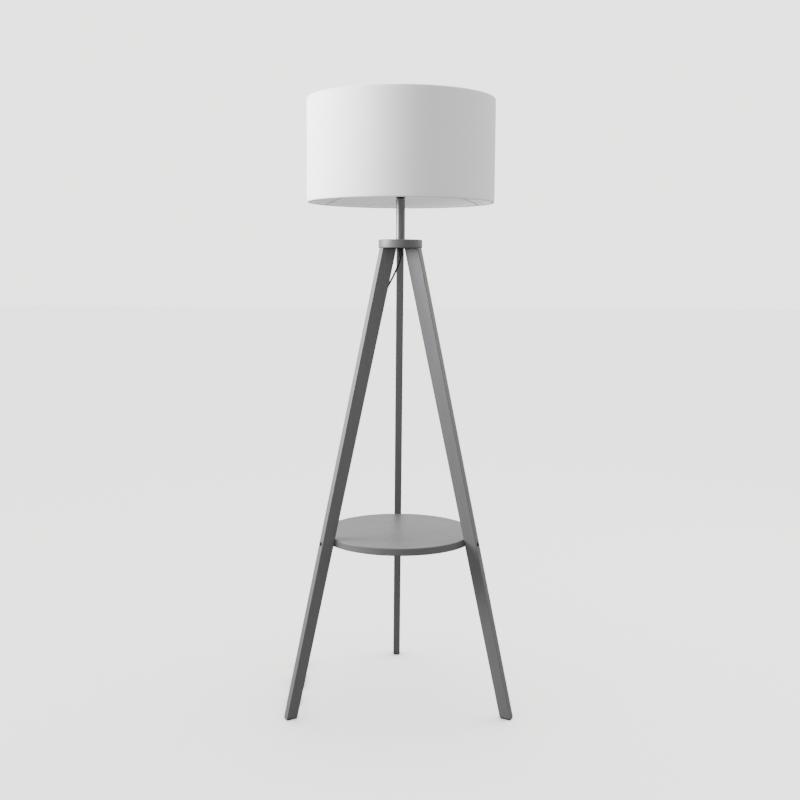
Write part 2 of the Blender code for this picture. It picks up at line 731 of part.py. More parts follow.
def route_down_leg():
    """From the grip to the switch: down from the hub, behind the left leg, then the floor."""
    points = [
        Vector((0, 0, GRIP_BOTTOM_Z - GAP)),
        Vector((-0.0006, -0.0002, GRIP_BOTTOM_Z - 0.004)),
        Vector((-0.0027, -0.0007, GRIP_BOTTOM_Z - 0.0135)),
        Vector((-0.0098, -0.0024, GRIP_BOTTOM_Z - 0.0317)),
        Vector((-0.0190, -0.0046, GRIP_BOTTOM_Z - 0.0512)),
        Vector((-0.0289, -0.0070, GRIP_BOTTOM_Z - 0.070)),
        beside_leg(GRIP_BOTTOM_Z - 0.091, 0.0395, CORD_OFF_LEG + 0.0002),
        beside_leg(LEG_TOP_Z - 0.138, 0.0508, CORD_OFF_LEG + 0.0012),
    ]
    for share, short in ((0.8415, 0.0112), (0.8059, 0.0062), (0.7676, 0.0018)):
        z = LEG_TOP_Z * share
        points.append(beside_leg(z, leg_middle(z) - short))
    for share in CORD_SHARES:
        z = LEG_TOP_Z * share
        points.append(beside_leg(z, leg_middle(z)))
    points += [
        beside_leg(0.0480, 0.28785, CORD_OFF_LEG + 0.0010),
        beside_leg(0.0330, 0.28788, CORD_OFF_LEG + 0.0036),
        beside_leg(0.0185, 0.28560, CORD_OFF_LEG + 0.0087),
        Vector((-0.2577, -0.1150, 0.0085)),
        Vector((FLOOR_LINE_X, -0.1010, 0.0052)),
        Vector((FLOOR_LINE_X, -0.0880, 0.0068)),
        Vector((FLOOR_LINE_X, SWITCH_FROM_Y - GAP, SWITCH_CORD_Z)),
    ]
    return points


def route_to_hank():
    return [
        Vector((FLOOR_LINE_X, SWITCH_TO_Y + GAP, SWITCH_CORD_Z)),
        Vector((FLOOR_LINE_X, SWITCH_TO_Y + 0.006, SWITCH_CORD_Z - 0.0005)),
        Vector((FLOOR_LINE_X - 0.004, SWITCH_TO_Y + 0.018, 0.0042)),
        Vector((FLOOR_LINE_X - 0.0105, SWITCH_TO_Y + 0.029, CORD_FLOOR_Z)),
        Vector((FLOOR_LINE_X - HANK_FOLD / 2, HANK_FROM_Y + 0.0042, CORD_FLOOR_Z)),
    ]


def smooth_route(points, step):
    """Points a step apart on one smooth curve through the route's own points."""
    ends = [2 * points[0] - points[1], *points, 2 * points[-1] - points[-2]]
    fine = []
    for before, one, two, after in zip(ends, ends[1:], ends[2:], ends[3:]):
        knots = [0.0]
        for here, there in ((before, one), (one, two), (two, after)):
            knots.append(knots[-1] + math.sqrt((there - here).length))
        t0, t1, t2, t3 = knots
        for k in range(24):
            t = t1 + (t2 - t1) * k / 24
            a = before.lerp(one, (t - t0) / (t1 - t0))
            b = one.lerp(two, (t - t1) / (t2 - t1))
            c = two.lerp(after, (t - t2) / (t3 - t2))
            d = a.lerp(b, (t - t0) / (t2 - t0))
            e = b.lerp(c, (t - t1) / (t3 - t1))
            fine.append(d.lerp(e, (t - t1) / (t2 - t1)))
    fine.append(points[-1])
    total = sum((b - a).length for a, b in zip(fine, fine[1:]))
    count = max(2, round(total / step))
    wanted = [total * k / count for k in range(1, count)]
    found = [fine[0]]
    gone = 0.0
    for one, two in zip(fine, fine[1:]):
        length = (two - one).length
        while wanted and gone + length >= wanted[0]:
            found.append(one.lerp(two, (wanted.pop(0) - gone) / length))
        gone += length
    return [*found, fine[-1]]


def cord_tube(name, route):
    """The cord's own tube along a route."""
    points = smooth_route(route, CORD_STEP)
    data = bpy.data.curves.new(name, "CURVE")
    data.dimensions = "3D"
    data.bevel_depth = CORD_RADIUS
    data.bevel_resolution = 2
    data.use_fill_caps = True
    spline = data.splines.new("POLY")
    spline.points.add(len(points) - 1)
    for point, at in zip(spline.points, points):
        point.co = (*at, 1.0)
    return place(name, data, "black_cord")


def stadium_mesh(name, long, wide, low, high, segments=12):
    """A flat solid with round ends, long along Y, centred on Z."""
    half = (long - wide) / 2
    bm = bmesh.new()
    bmesh.ops.create_cone(
        bm,
        cap_ends=True,
        segments=2 * segments,
        radius1=wide / 2,
        radius2=wide / 2,
        depth=high - low,
        matrix=Matrix.Translation((0, 0, (low + high) / 2)),
    )
    for corner in bm.verts:
        if abs(corner.co.y) > 1e-6:
            corner.co.y += math.copysign(half, corner.co.y)
    return finish_mesh(bm, name)


def make_clips():
    """Saddles over the cord on the left leg's hidden face."""
    towards = round_the_axis(LEG_NAMES["left"])
    lean = math.atan((LEG_FOOT_OUT + LEG_FOOT_IN - LEG_TOP_OUT - LEG_TOP_IN) / 2 / LEG_TOP_Z)
    inner = CORD_RADIUS + GAP
    outer = inner + CLIP_WALL
    foot = outer + 2 * CLIP_WALL
    base = CORD_RADIUS + GAP
    arc = [math.pi * k / 8 for k in range(9)]
    shape = [(-foot, -base + GAP), (-foot, -base + GAP + CLIP_WALL)]
    shape += [(-outer * math.cos(a), outer * math.sin(a)) for a in arc]
    shape += [(foot, -base + GAP + CLIP_WALL), (foot, -base + GAP), (inner, -base + GAP)]
    shape += [(inner * math.cos(a), inner * math.sin(a)) for a in arc]
    shape += [(-inner, -base + GAP)]
    for number, share in enumerate(CLIP_SHARES, 1):
        z = LEG_TOP_Z * share
        data = bpy.data.curves.new(f"cord_clip_{number}", "CURVE")
        data.dimensions = "2D"
        data.fill_mode = "BOTH"
        data.extrude = CLIP_LENGTH / 2
        spline = data.splines.new("POLY")
        spline.points.add(len(shape) - 1)
        for point, (x, y) in zip(spline.points, shape):
            point.co = (x, y, 0.0, 1.0)
        spline.use_cyclic_u = True
        at = (leg_middle(z), -CORD_OFF_LEG, z)
        turn_to = Matrix.Rotation(-lean, 3, "Y") @ Matrix.Rotation(math.pi, 3, "Z")
        place(
            f"cord_clip_{number}",
            data,
            "black_plastic",
            at,
            turn_to.to_euler(),
            towards,
        )


def make_switch():
    """A rocker switch in the cord: two shells with a tapered sleeve at each end, and a rocker."""
    bore = CORD_RADIUS + GAP
    split = SWITCH_CORD_Z
    at = (FLOOR_LINE_X, SWITCH_MID_Y, 0)
    base = stadium_mesh("switch_base", SWITCH_LENGTH, SWITCH_WIDTH, GAP, split - GAP / 2)
    base = place("switch_base", base, "black_plastic", at)
    top = split + SWITCH_COVER_HEIGHT
    cover = stadium_mesh("switch_cover", SWITCH_LENGTH, SWITCH_WIDTH, split + GAP / 2, top)
    cover = place("switch_cover", cover, "black_plastic", at)
    round_edges(cover, SWITCH_EDGE, 3, 60)
    lying = (math.pi / 2, 0, 0)
    for end in (-1, 1):
        middle = SWITCH_MID_Y + end * SWITCH_LENGTH / 2
        deep = SWITCH_HOLE_DEEP
        data = cylinder_mesh(f"switch_cord_hole_{end}", bore, -deep, deep, 16)
        hole = place_cutter(
            f"switch_cord_hole_{end}", data, (FLOOR_LINE_X, middle, split), lying
        )
        cut(base, hole)
        cut(cover, hole)
        post = SWITCH_MID_Y + end * (SWITCH_LENGTH / 2 - SWITCH_SCREW_FROM_END)
        where = (FLOOR_LINE_X, post, 0)
        low = SWITCH_SCREW_SUNK
        screw = cylinder_mesh("switch_screw", SWITCH_SCREW_RADIUS, low, SWITCH_SCREW_LENGTH, 12)
        number = 1 if end < 0 else 2
        place(f"switch_screw_{number}", screw, "zinc", where)
        wide = SWITCH_SCREW_RADIUS + GAP
        data = cylinder_mesh("switch_screw_hole", wide, -low, SWITCH_SCREW_LENGTH + GAP, 12)
        hole = place_cutter(f"switch_screw_hole_{number}", data, where)
        cut(base, hole)
        cut(cover, hole)
    window = (ROCKER_WIDTH + 2 * RUN_GAP, ROCKER_LENGTH + 4 * RUN_GAP, 2 * ROCKER_HEIGHT)
    well = place_cutter("rocker_window", box_mesh("rocker_window", window), (*at[:2], top))
    cut(cover, well)
    make_rocker(top)


def make_rocker(top):
    """The rocker: its two ends stand above the middle, and it tips on a pin across the switch."""
    bm = bmesh.new()
    bmesh.ops.create_cube(bm, size=1.0)
    bmesh.ops.subdivide_edges(
        bm,
        edges=[e for e in bm.edges if abs(e.verts[0].co.y - e.verts[1].co.y) > 0.5],
        cuts=1,
    )
    for corner in bm.verts:
        share = abs(corner.co.y) * 2
        if corner.co.z > 0:
            corner.co.z = ROCKER_MIDDLE_TOP + ROCKER_END_RISE * share
        else:
            corner.co.z = -ROCKER_MIDDLE_DEEP + ROCKER_END_LIFT * share
        corner.co.x *= ROCKER_WIDTH
        corner.co.y *= ROCKER_LENGTH
    data = finish_mesh(bm, "switch_rocker")
    tipped = (-math.radians(ROCKER_TILT), 0, 0)
    place("switch_rocker", data, "black_plastic", (FLOOR_LINE_X, SWITCH_MID_Y, top), tipped)


def make_hank():
    middle = (HANK_FROM_Y + HANK_TO_Y) / 2
    at = (FLOOR_LINE_X, middle, 0)
    long = HANK_TO_Y - HANK_FROM_Y
    hank = stadium_mesh("cord_hank", long, HANK_WIDTH, GAP, GAP + HANK_HEIGHT)
    hank = place("cord_hank", hank, "black_cord", at)
    shrink = TIE_THICK + 2 * GAP
    waist = box_mesh(
        "hank_waist",
        (2 * HANK_WIDTH, TIE_WIDTH + 2 * GAP, 2 * HANK_HEIGHT + 4 * GAP),
        (0, 0, HANK_HEIGHT / 2),
    )
    core_size = (HANK_WIDTH - 2 * shrink, 2 * TIE_WIDTH, HANK_HEIGHT - 2 * shrink)
    core = box_mesh("hank_core", core_size, (0, 0, GAP + HANK_HEIGHT / 2))
    waist = place_cutter("hank_waist", waist, at)
    core = place_cutter("hank_core", core, at)
    cut(waist, core)
    cut(hank, waist)
    outer = (HANK_WIDTH, TIE_WIDTH, HANK_HEIGHT)
    tie = place(
        "hank_tie", box_mesh("hank_tie", outer, (0, 0, GAP + HANK_HEIGHT / 2)), "black_plastic", at
    )
    inner = (HANK_WIDTH - 2 * TIE_THICK, 2 * TIE_WIDTH, HANK_HEIGHT - 2 * TIE_THICK)
    hollow = box_mesh("tie_hollow", inner, (0, 0, GAP + HANK_HEIGHT / 2))
    cut(tie, place_cutter("tie_hollow", hollow, at))


def make_plug():
    """A two-blade plug lying flat, its tapered tail towards the hank."""
    bm = bmesh.new()
    tail_y = PLUG_FROM_Y
    body_y = tail_y + PLUG_TAIL
    front_y = body_y + PLUG_LENGTH
    bmesh.ops.create_cube(
        bm,
        size=1.0,
        matrix=Matrix.Translation((0, (body_y + front_y) / 2, PLUG_CORD_Z))
        @ Matrix.Diagonal((PLUG_WIDTH, PLUG_LENGTH, PLUG_HEIGHT, 1.0)),
    )
    back = [f for f in bm.faces if f.normal.y < -0.5]
    tail = bmesh.ops.extrude_face_region(bm, geom=back)["geom"]
    bmesh.ops.delete(bm, geom=back, context="FACES_ONLY")
    tail = [v for v in tail if isinstance(v, bmesh.types.BMVert)]
    for corner in tail:
        corner.co.x = math.copysign(PLUG_TAIL_END, corner.co.x)
        corner.co.y = tail_y
        corner.co.z = PLUG_CORD_Z + math.copysign(PLUG_TAIL_END, corner.co.z - PLUG_CORD_Z)
    data = finish_mesh(bm, "plug_body")
    plug = place("plug_body", data, "black_plastic", (FLOOR_LINE_X, 0, 0))
    round_edges(plug, PLUG_EDGE, 2, 25)
    lying = (math.pi / 2, 0, 0)
    deep = PLUG_CORD_DEEP
    hole = cylinder_mesh("plug_cord_hole", CORD_RADIUS + GAP, -deep, deep, 16)
    cut(plug, place_cutter("plug_cord_hole", hole, (FLOOR_LINE_X, tail_y, PLUG_CORD_Z), lying))
    slot_size = (BLADE_THICK + 2 * GAP, 2 * (BLADE_IN_PLUG + GAP), BLADE_WIDTH + 2 * GAP)
    long = BLADE_IN_PLUG + BLADE_LENGTH
    middle_y = front_y - BLADE_IN_PLUG + long / 2
    for number, side in ((1, -1), (2, 1)):
        x = FLOOR_LINE_X + side * BLADE_SPACING / 2
        slot = place_cutter(
            f"blade_slot_{number}", box_mesh("blade_slot", slot_size), (x, front_y, PLUG_CORD_Z)
        )
        cut(plug, slot)
        blade = box_mesh(f"plug_blade_{number}", (BLADE_THICK, long, BLADE_WIDTH))
        blade = place(f"plug_blade_{number}", blade, "brass", (x, middle_y, PLUG_CORD_Z))
        round_edges(blade, BLADE_EDGE, 1)


def route_to_plug():
    """From the hank's far end, off its top, to the plug's tail."""
    high = HANK_HEIGHT - CORD_RADIUS
    return [
        Vector((FLOOR_LINE_X + 0.0045, HANK_TO_Y + GAP, high)),
        Vector((FLOOR_LINE_X + 0.0030, HANK_TO_Y + 0.008, high - 0.0006)),
        Vector((FLOOR_LINE_X + 0.0008, HANK_TO_Y + 0.017, PLUG_CORD_Z + 0.0008)),
        Vector((FLOOR_LINE_X, PLUG_FROM_Y - GAP, PLUG_CORD_Z)),
    ]


def make_cord():
    cord_tube("cord_down_leg", route_down_leg())
    cord_tube("cord_to_hank", route_to_hank())
    cord_tube("cord_to_plug", route_to_plug())
    make_clips()
    make_switch()
    make_hank()
    make_plug()


clear_scene()
PARTS = make_collection("tripod_floor_lamp")
CUTTERS = make_collection("cutters")
AXIS = bpy.data.objects.new("lamp_axis", None)
PARTS.objects.link(AXIS)
AXIS.location = (0, AXIS_Y, 0)
make_tripod()
make_stem()
make_grip()
make_holder()
make_shade_rings()
make_bulb()
make_shade()
make_cord()
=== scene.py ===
import math

import bmesh
import bpy
from mathutils import Matrix, Vector


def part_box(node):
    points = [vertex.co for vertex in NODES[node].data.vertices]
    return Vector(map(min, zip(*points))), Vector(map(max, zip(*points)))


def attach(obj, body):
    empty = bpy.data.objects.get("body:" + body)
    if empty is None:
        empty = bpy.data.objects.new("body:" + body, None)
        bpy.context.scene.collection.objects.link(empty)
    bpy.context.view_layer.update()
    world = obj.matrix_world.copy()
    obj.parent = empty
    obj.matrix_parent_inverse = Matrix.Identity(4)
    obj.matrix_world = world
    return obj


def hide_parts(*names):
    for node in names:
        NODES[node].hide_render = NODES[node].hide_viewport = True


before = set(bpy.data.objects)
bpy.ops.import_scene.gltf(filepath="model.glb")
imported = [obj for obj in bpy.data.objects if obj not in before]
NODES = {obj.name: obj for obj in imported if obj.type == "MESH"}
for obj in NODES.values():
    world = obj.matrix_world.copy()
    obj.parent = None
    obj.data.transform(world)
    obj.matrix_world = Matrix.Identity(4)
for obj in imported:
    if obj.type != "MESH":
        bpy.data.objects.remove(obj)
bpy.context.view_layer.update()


def middle_of(node):
    low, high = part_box(node)
    return (low + high) / 2


def radius_of(node):
    low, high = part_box(node)
    return (high.x - low.x) / 2


# ------------------------------------------------------------ sizes, in metres
AXIS_Y = middle_of("hub").y
GAP = 0.0003
LEG_TOP_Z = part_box("leg_left")[1].z
LEG_LOW_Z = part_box("leg_left")[0].z
LEG_TOP_IN = 0.0155
LEG_TOP_OUT = 0.0537
LEG_FOOT_IN = 0.2853
LEG_FOOT_OUT = 0.3135
LEG_THICK = 0.018
LEG_EDGE = 0.0014
LEGS = {"back": 90.0, "left": 210.0, "right": 330.0}
SHELF_LOW_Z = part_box("shelf")[0].z
SHELF_TOP_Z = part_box("shelf")[1].z
SHELF_MIDDLE_Z = (SHELF_LOW_Z + SHELF_TOP_Z) / 2
SHELF_RADIUS = 0.185
SHELF_EDGE = 0.0022
SHELF_BOLT_RADIUS = 0.0025
SHELF_BOLT_HEAD = 0.005  # its head's radius
SHELF_BOLT_HEAD_THICK = 0.0035
SHELF_BOLT_LENGTH = 0.060
SHELF_BOLT_SUNK = 0.0015  # how far its head lies below the leg's face
HUB_LOW_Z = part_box("hub")[0].z
HUB_TOP_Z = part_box("hub")[1].z
HUB_RADIUS = 0.053
HUB_EDGE = 0.0014
HUB_RECESS_RADIUS = 0.0125
HUB_RECESS_DEEP = 0.0085
HUB_BOLT_CIRCLE = 0.0355
HUB_BOLT_RADIUS = 0.003
HUB_BOLT_HEAD = 0.006
HUB_BOLT_LENGTH = 0.044
ALLEN_KEY_RADIUS = 0.0023  # over its corners
ALLEN_KEY_DEEP = 0.0022
STEM_RADIUS = 0.011
STEM_WALL = 0.0015
STEM_SEAT_DEEP = 0.002
ROD_RADIUS = 0.005
ROD_BORE = 0.0035
ROD_HOLE = ROD_RADIUS + GAP
GRIP_LOW_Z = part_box("cord_grip")[0].z
GRIP_TOP_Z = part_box("cord_grip")[1].z
GRIP_RADIUS = 0.007
GRIP_ROD_DEEP = 0.007
GRIP_SCREW_TURN = math.radians(-35)
BULB_PITCH = 0.0036
SKIRT_HOLE = 0.02025  # the spider plate's hole, round the lampholder's skirt
SPIDER_FIRST = 27  # the way its first arm points, in degrees
SHADE_LOW_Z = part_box("shade_drum")[0].z
SHADE_TOP_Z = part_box("shade_drum")[1].z
WIRE_CIRCLE = 0.22175
WIRE_RADIUS = 0.00175
WALL_RADIUS = 0.2246
CORD_RADIUS = 0.0023
CORD_STEP = 0.0042
CORD_OFF_LEG = LEG_THICK / 2 + CORD_RADIUS + GAP
CORD_FLOOR_Z = CORD_RADIUS + GAP
CORD_SHARES = (0.7124, 0.6233, 0.5432, 0.4541, 0.3740, 0.2939, 0.2226, 0.1514, 0.0980, 0.0668)
FLOOR_LINE_X = middle_of("plug_body").x
SWITCH_FROM_Y = -0.072
SWITCH_TO_Y = -0.012
SWITCH_CORD_Z = 0.0078
HANK_FROM_Y = 0.028
HANK_FOLD = 0.0276
HANK_RUN = 0.083
HANK_WIDTH = HANK_FOLD + 2 * CORD_RADIUS
HANK_TO_Y = HANK_FROM_Y + HANK_RUN + HANK_WIDTH
HANK_TOP = 0.0138
PLUG_FROM_Y = 0.168
PLUG_CORD_Z = 0.00855
SLEEVE_BORE = 0.0026  # round the cord, in the switch's and the plug's ends

BROAD_FACE = 0.00006  # square metres
BROAD_EDGE_TURN = math.radians(3)
TO_OUTWARD = Matrix.Rotation(math.pi / 2, 4, "Y")  # turns what points up to point along X


def new_object(name, data):
    made = bpy.data.objects.new(name, data)
    bpy.context.scene.collection.objects.link(made)
    return made


# ------------------------------------------------------------ camera
def stand_the_camera():
    distance = 2.6324
    height = 1.0657
    round_lamp = math.radians(0.865)
    looks_down = math.radians(6.767)
    leans = math.radians(0.327)
    lens = bpy.data.cameras.new("camera")
    lens.sensor_width = 36
    lens.lens = 48.496
    lens.shift_x = 0.0006
    camera = new_object("camera", lens)
    stand = Vector(
        (-distance * math.sin(round_lamp), AXIS_Y - distance * math.cos(round_lamp), height)
    )
    camera.matrix_world = (
        Matrix.Translation(stand)
        @ Matrix.Rotation(-round_lamp, 4, "Z")
        @ Matrix.Rotation(math.pi / 2 - looks_down, 4, "X")
        @ Matrix.Rotation(leans, 4, "Z")
    )
    bpy.context.scene.camera = camera


stand_the_camera()


# ------------------------------------------------------------ finishes
class Finish:
    """One material: its shader, and the nodes that feed it."""

    def __init__(self, name, colour, roughness, **sockets):
        self.made = bpy.data.materials.new(name)
        self.made.use_nodes = True
        self.tree = self.made.node_tree
        self.shader = self.tree.nodes["Principled BSDF"]
        self.shader.inputs["Base Color"].default_value = (*colour, 1.0)
        self.shader.inputs["Roughness"].default_value = roughness
        for socket, value in sockets.items():
            self.shader.inputs[socket.replace("_", " ")].default_value = value
        self.colour = colour
        self.roughness = roughness
        self.places = {}
        self.bump_from = None

    def node(self, kind, values=None, **settings):
        made = self.tree.nodes.new("ShaderNode" + kind)
        for name, value in settings.items():
            setattr(made, name, value)
        for socket, value in (values or {}).items():
            made.inputs[socket].default_value = value
        return made

    def join(self, start, end):
        self.tree.links.new(start, end)

    def where(self, on="Object", stretch=(1, 1, 1)):
        """The place on the piece, in metres, stretched along its axes."""
        if (on, stretch) not in self.places:
            if on == "Object":
                source = self.node("TexCoord").outputs["Object"]
            else:
                source = self.node("UVMap", uv_map=on).outputs["UV"]
            mapping = self.node("Mapping", {"Scale": stretch})
            self.join(source, mapping.inputs["Vector"])
            self.places[(on, stretch)] = mapping.outputs["Vector"]
        return self.places[(on, stretch)]

    def noise(self, per_metre, detail=2.0, on="Object", stretch=(1, 1, 1)):
        made = self.node("TexNoise", {"Scale": per_metre, "Detail": detail})
        self.join(self.where(on, stretch), made.inputs["Vector"])
        return made.outputs["Fac"]

    def spread(self, signal, low, high, from_low=0.3, from_high=0.7):
        made = self.node(
            "MapRange",
            {"From Min": from_low, "From Max": from_high, "To Min": low, "To Max": high},
        )
        self.join(signal, made.inputs["Value"])
        return made.outputs["Result"]

    def maths(self, operation, first, second=None):
        made = self.node("Math", operation=operation)
        for number, value in enumerate((first, second)):
            if value is None:
                continue
            if isinstance(value, (int, float)):
                made.inputs[number].default_value = value
            else:
                self.join(value, made.inputs[number])
        return made.outputs[0]

    def tint(self, signal, darker, lighter, from_low=0.3, from_high=0.7):
        """The colour wanders between a darker and a lighter shade of itself."""
        share = self.spread(signal, 0.0, 1.0, from_low, from_high)
        made = self.node("Mix", data_type="RGBA")
        self.join(share, made.inputs["Factor"])
        ends = [[min(1.0, c * k) for c in self.colour] for k in (darker, lighter)]
        made.inputs[6].default_value = (*ends[0], 1.0)
        made.inputs[7].default_value = (*ends[1], 1.0)
        self.join(made.outputs[2], self.shader.inputs["Base Color"])
        return self

    def gloss(self, signal, less, more):
        """The roughness wanders round its own value."""
        self.join(
            self.spread(signal, self.roughness - less, self.roughness + more),
            self.shader.inputs["Roughness"],
        )
        return self

    def bump(self, signal, strength, depth):
        made = self.node("Bump", {"Strength": strength, "Distance": depth})
        self.join(signal, made.inputs["Height"])
        if self.bump_from:
            self.join(self.bump_from, made.inputs["Normal"])
        self.bump_from = made.outputs["Normal"]
        self.join(self.bump_from, self.shader.inputs["Normal"])
        return self


def satin_grey_paint(name, grained):
    """Sprayed satin paint; on the legs the timber's long grain shows through faintly."""
    made = Finish(name, (0.090, 0.090, 0.0915), 0.46, Specular_IOR_Level=0.42)
    made.gloss(made.noise(38, 3), 0.02, 0.025)
    made.bump(made.noise(620, 2), 0.10, 0.0003)
    if grained:
        fibre = made.noise(1.0, 4, "grain", (900, 16, 1))
        broad = made.noise(1.0, 2, "grain", (150, 3, 1))
        made.tint(broad, 0.965, 1.035)
        made.bump(fibre, 0.16, 0.0002).bump(broad, 0.10, 0.0005)
    else:
        made.tint(made.noise(9, 4), 0.985, 1.015)
        made.bump(made.noise(90, 2), 0.05, 0.0005)
    return made.made


def stem_coating():
    made = Finish("stem_coating", (0.085, 0.085, 0.087), 0.32, Metallic=0.2, Coat_Weight=0.1)
    made.tint(made.noise(30, 3), 0.98, 1.02).gloss(made.noise(60, 2), 0.02, 0.03)
    made.bump(made.noise(1500, 2), 0.05, 0.0001)
    return made.made


def pressed_felt():
    made = Finish("pressed_felt", (0.028, 0.027, 0.026), 0.95, Sheen_Weight=0.4)
    made.tint(made.noise(900, 4), 0.6, 1.7)
    made.bump(made.noise(2200, 5), 0.7, 0.0004)
    return made.made


def plated(name, colour, roughness, per_metre=260, metallic=1.0):
    """Plated or drawn metal, with fine scratches and cloudy tarnish."""
    made = Finish(name, colour, roughness, Metallic=metallic)
    scratches = made.noise(per_metre, 6, stretch=(1, 1, 14))
    made.tint(made.noise(120, 4), 0.86, 1.08)
    made.gloss(scratches, 0.08, 0.14).bump(scratches, 0.08, 0.0001)
    return made.made


def moulded(name, colour, roughness, per_metre=1900, **sockets):
    """Moulded plastic with the fine sparked skin of its mould."""
    made = Finish(name, colour, roughness, **sockets)
    made.tint(made.noise(60, 3), 0.85, 1.2)
    made.gloss(made.noise(300, 3), 0.05, 0.08)
    made.bump(made.noise(per_metre, 3), 0.22, 0.0002)
    return made.made


def glazed_porcelain():
    made = Finish("glazed_porcelain", (0.80, 0.78, 0.73), 0.18, Coat_Weight=0.5)
    made.tint(made.noise(140, 4), 0.95, 1.02).bump(made.noise(700, 2), 0.05, 0.0003)
    return made.made


def shade_cloth():
    """White plain-woven cloth: one thread over, one under, with thicker slubs here and there."""
    pitch = 0.0008
    made = Finish("shade_cloth", (0.83, 0.83, 0.852), 0.88, Sheen_Weight=0.25, Sheen_Roughness=0.6)
    split = made.node("SeparateXYZ")
    made.join(made.where("cloth"), split.inputs["Vector"])
    waves = [
        made.maths("SINE", made.maths("MULTIPLY", split.outputs[k], math.pi / pitch))
        for k in (0, 1)
    ]
    weave = made.maths("MULTIPLY", waves[0], waves[1])
    slub = made.noise(1.0, 3, "cloth", (40, 1100, 1))
    slub_up = made.noise(1.0, 3, "cloth", (1100, 40, 1))
    slubs = made.maths("ADD", slub, slub_up)
    made.tint(slubs, 0.965, 1.02, 0.75, 1.25)
    made.bump(weave, 0.35, 0.00012).bump(slubs, 0.3, 0.0003)
    made.bump(made.noise(14, 2), 0.10, 0.0012)
    return made.made


def shade_lining():
    """The stiff white sheet that the cloth is glued to."""
    made = Finish("shade_lining", (0.80, 0.80, 0.80), 0.6)
    made.tint(made.noise(16, 3), 0.98, 1.02).gloss(made.noise(50, 3), 0.06, 0.08)
    made.bump(made.noise(300, 2), 0.08, 0.0003)
    return made.made


def white_lacquer():
    made = Finish("white_lacquer", (0.70, 0.70, 0.70), 0.35, Coat_Weight=0.2)
    made.tint(made.noise(200, 3), 0.93, 1.03).bump(made.noise(1200, 2), 0.04, 0.0001)
    return made.made


def opal_glass():
    made = Finish("opal_glass", (0.86, 0.86, 0.84), 0.18, Subsurface_Weight=0.25, Coat_Weight=0.6)
    made.tint(made.noise(40, 2), 0.98, 1.02).bump(made.noise(60, 2), 0.05, 0.0004)
    return made.made


def cord_jacket():
    """The cord's soft black jacket, a little waxy, with faint flats from the drum it came on."""
    made = Finish("cord_jacket", (0.006, 0.006, 0.006), 0.55, Specular_IOR_Level=0.18)
    made.tint(made.noise(80, 4), 0.7, 1.5).gloss(made.noise(160, 3), 0.08, 0.1)
    made.bump(made.noise(900, 3), 0.2, 0.0002)
    return made.made


def tie_loops():
    """The fuzzy loop side of a hook-and-loop tie."""
    black = (0.014, 0.014, 0.015)
    made = Finish("tie_loops", black, 0.92, Sheen_Weight=0.12, Specular_IOR_Level=0.2)
    made.tint(made.noise(1600, 4), 0.5, 2.0).bump(made.noise(2600, 4), 0.9, 0.0004)
    return made.made


PAINT = satin_grey_paint("satin_grey_paint", False)
LEG_PAINT = satin_grey_paint("satin_grey_paint_on_timber", True)
STEM_COATING = stem_coating()
FELT = pressed_felt()
BLACK_STEEL = plated("blackened_steel", (0.035, 0.035, 0.036), 0.42, metallic=0.85)
ZINC = plated("zinc_plate", (0.56, 0.57, 0.58), 0.34)
BRASS = plated("drawn_brass", (0.66, 0.48, 0.21), 0.3)
NICKEL = plated("nickel_cap", (0.60, 0.59, 0.57), 0.25, 400)
BAKELITE = moulded("black_holder_plastic", (0.018, 0.018, 0.018), 0.3, 1300, Coat_Weight=0.2)
PLASTIC = moulded("black_moulded_plastic", (0.017, 0.017, 0.0175), 0.45)
ROCKER_PLASTIC = moulded("black_rocker_plastic", (0.022, 0.022, 0.022), 0.28, 1200)
BLACK_GLASS = moulded("black_glass_disc", (0.01, 0.01, 0.011), 0.12, 500)
PORCELAIN = glazed_porcelain()
CLOTH = shade_cloth()
LINING = shade_lining()
WHITE_LACQUER = white_lacquer()
OPAL = opal_glass()
JACKET = cord_jacket()
LOOPS = tie_loops()


# ------------------------------------------------------------ ways of making
def keep_flats_flat(bm, sharp):
    """Shades the piece smooth, except at its sharp edges and round its broad flat faces."""
    limit = math.radians(sharp)
    areas = {face: face.calc_area() for face in bm.faces}
    for face in bm.faces:
        face.smooth = True
    for edge in bm.edges:
        edge.smooth = edge.calc_face_angle(0.0) < limit
        if edge.calc_face_angle(0.0) > BROAD_EDGE_TURN and len(edge.link_faces) == 2:
            one, two = sorted(areas[face] for face in edge.link_faces)
            if two > BROAD_FACE and two > 6 * one:
                edge.smooth = False


def lay_down(name, bm, material, body, stands_for=(), sharp=32.0):
    """Turns a bmesh into a finished piece that rides on a body."""
    keep_flats_flat(bm, sharp)
    data = bpy.data.meshes.new(name)
    bm.to_mesh(data)
    bm.free()
    data.materials.append(material)
    return settle(new_object(name, data), body, stands_for)


def settle(obj, body, stands_for=()):
    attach(obj, body)
    if stands_for:
        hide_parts(*stands_for)
    return obj


def spun(bm, steps, y=AXIS_Y):
    """Spins what there is once round an upright line at x = 0, and closes it on itself."""
    bmesh.ops.spin(
        bm,
        geom=bm.verts[:] + bm.edges[:],
        cent=(0, y, 0),
        axis=(0, 0, 1),
        angle=2 * math.pi,
        steps=steps,
        use_merge=True,
    )
    bmesh.ops.remove_doubles(bm, verts=bm.verts[:], dist=1e-6)
    bmesh.ops.recalc_face_normals(bm, faces=bm.faces[:])
    return bm


def turned(profile, steps=128, loop=True, y=AXIS_Y):
    """Turns a profile of (radius, height) points, as on a lathe."""
    bm = bmesh.new()
    points = [bm.verts.new((r, y, z)) for r, z in profile]
    for one, two in zip(points, points[1:]):
        bm.edges.new((one, two))
    if loop:
        bm.edges.new((points[-1], points[0]))
    return spun(bm, steps, y)


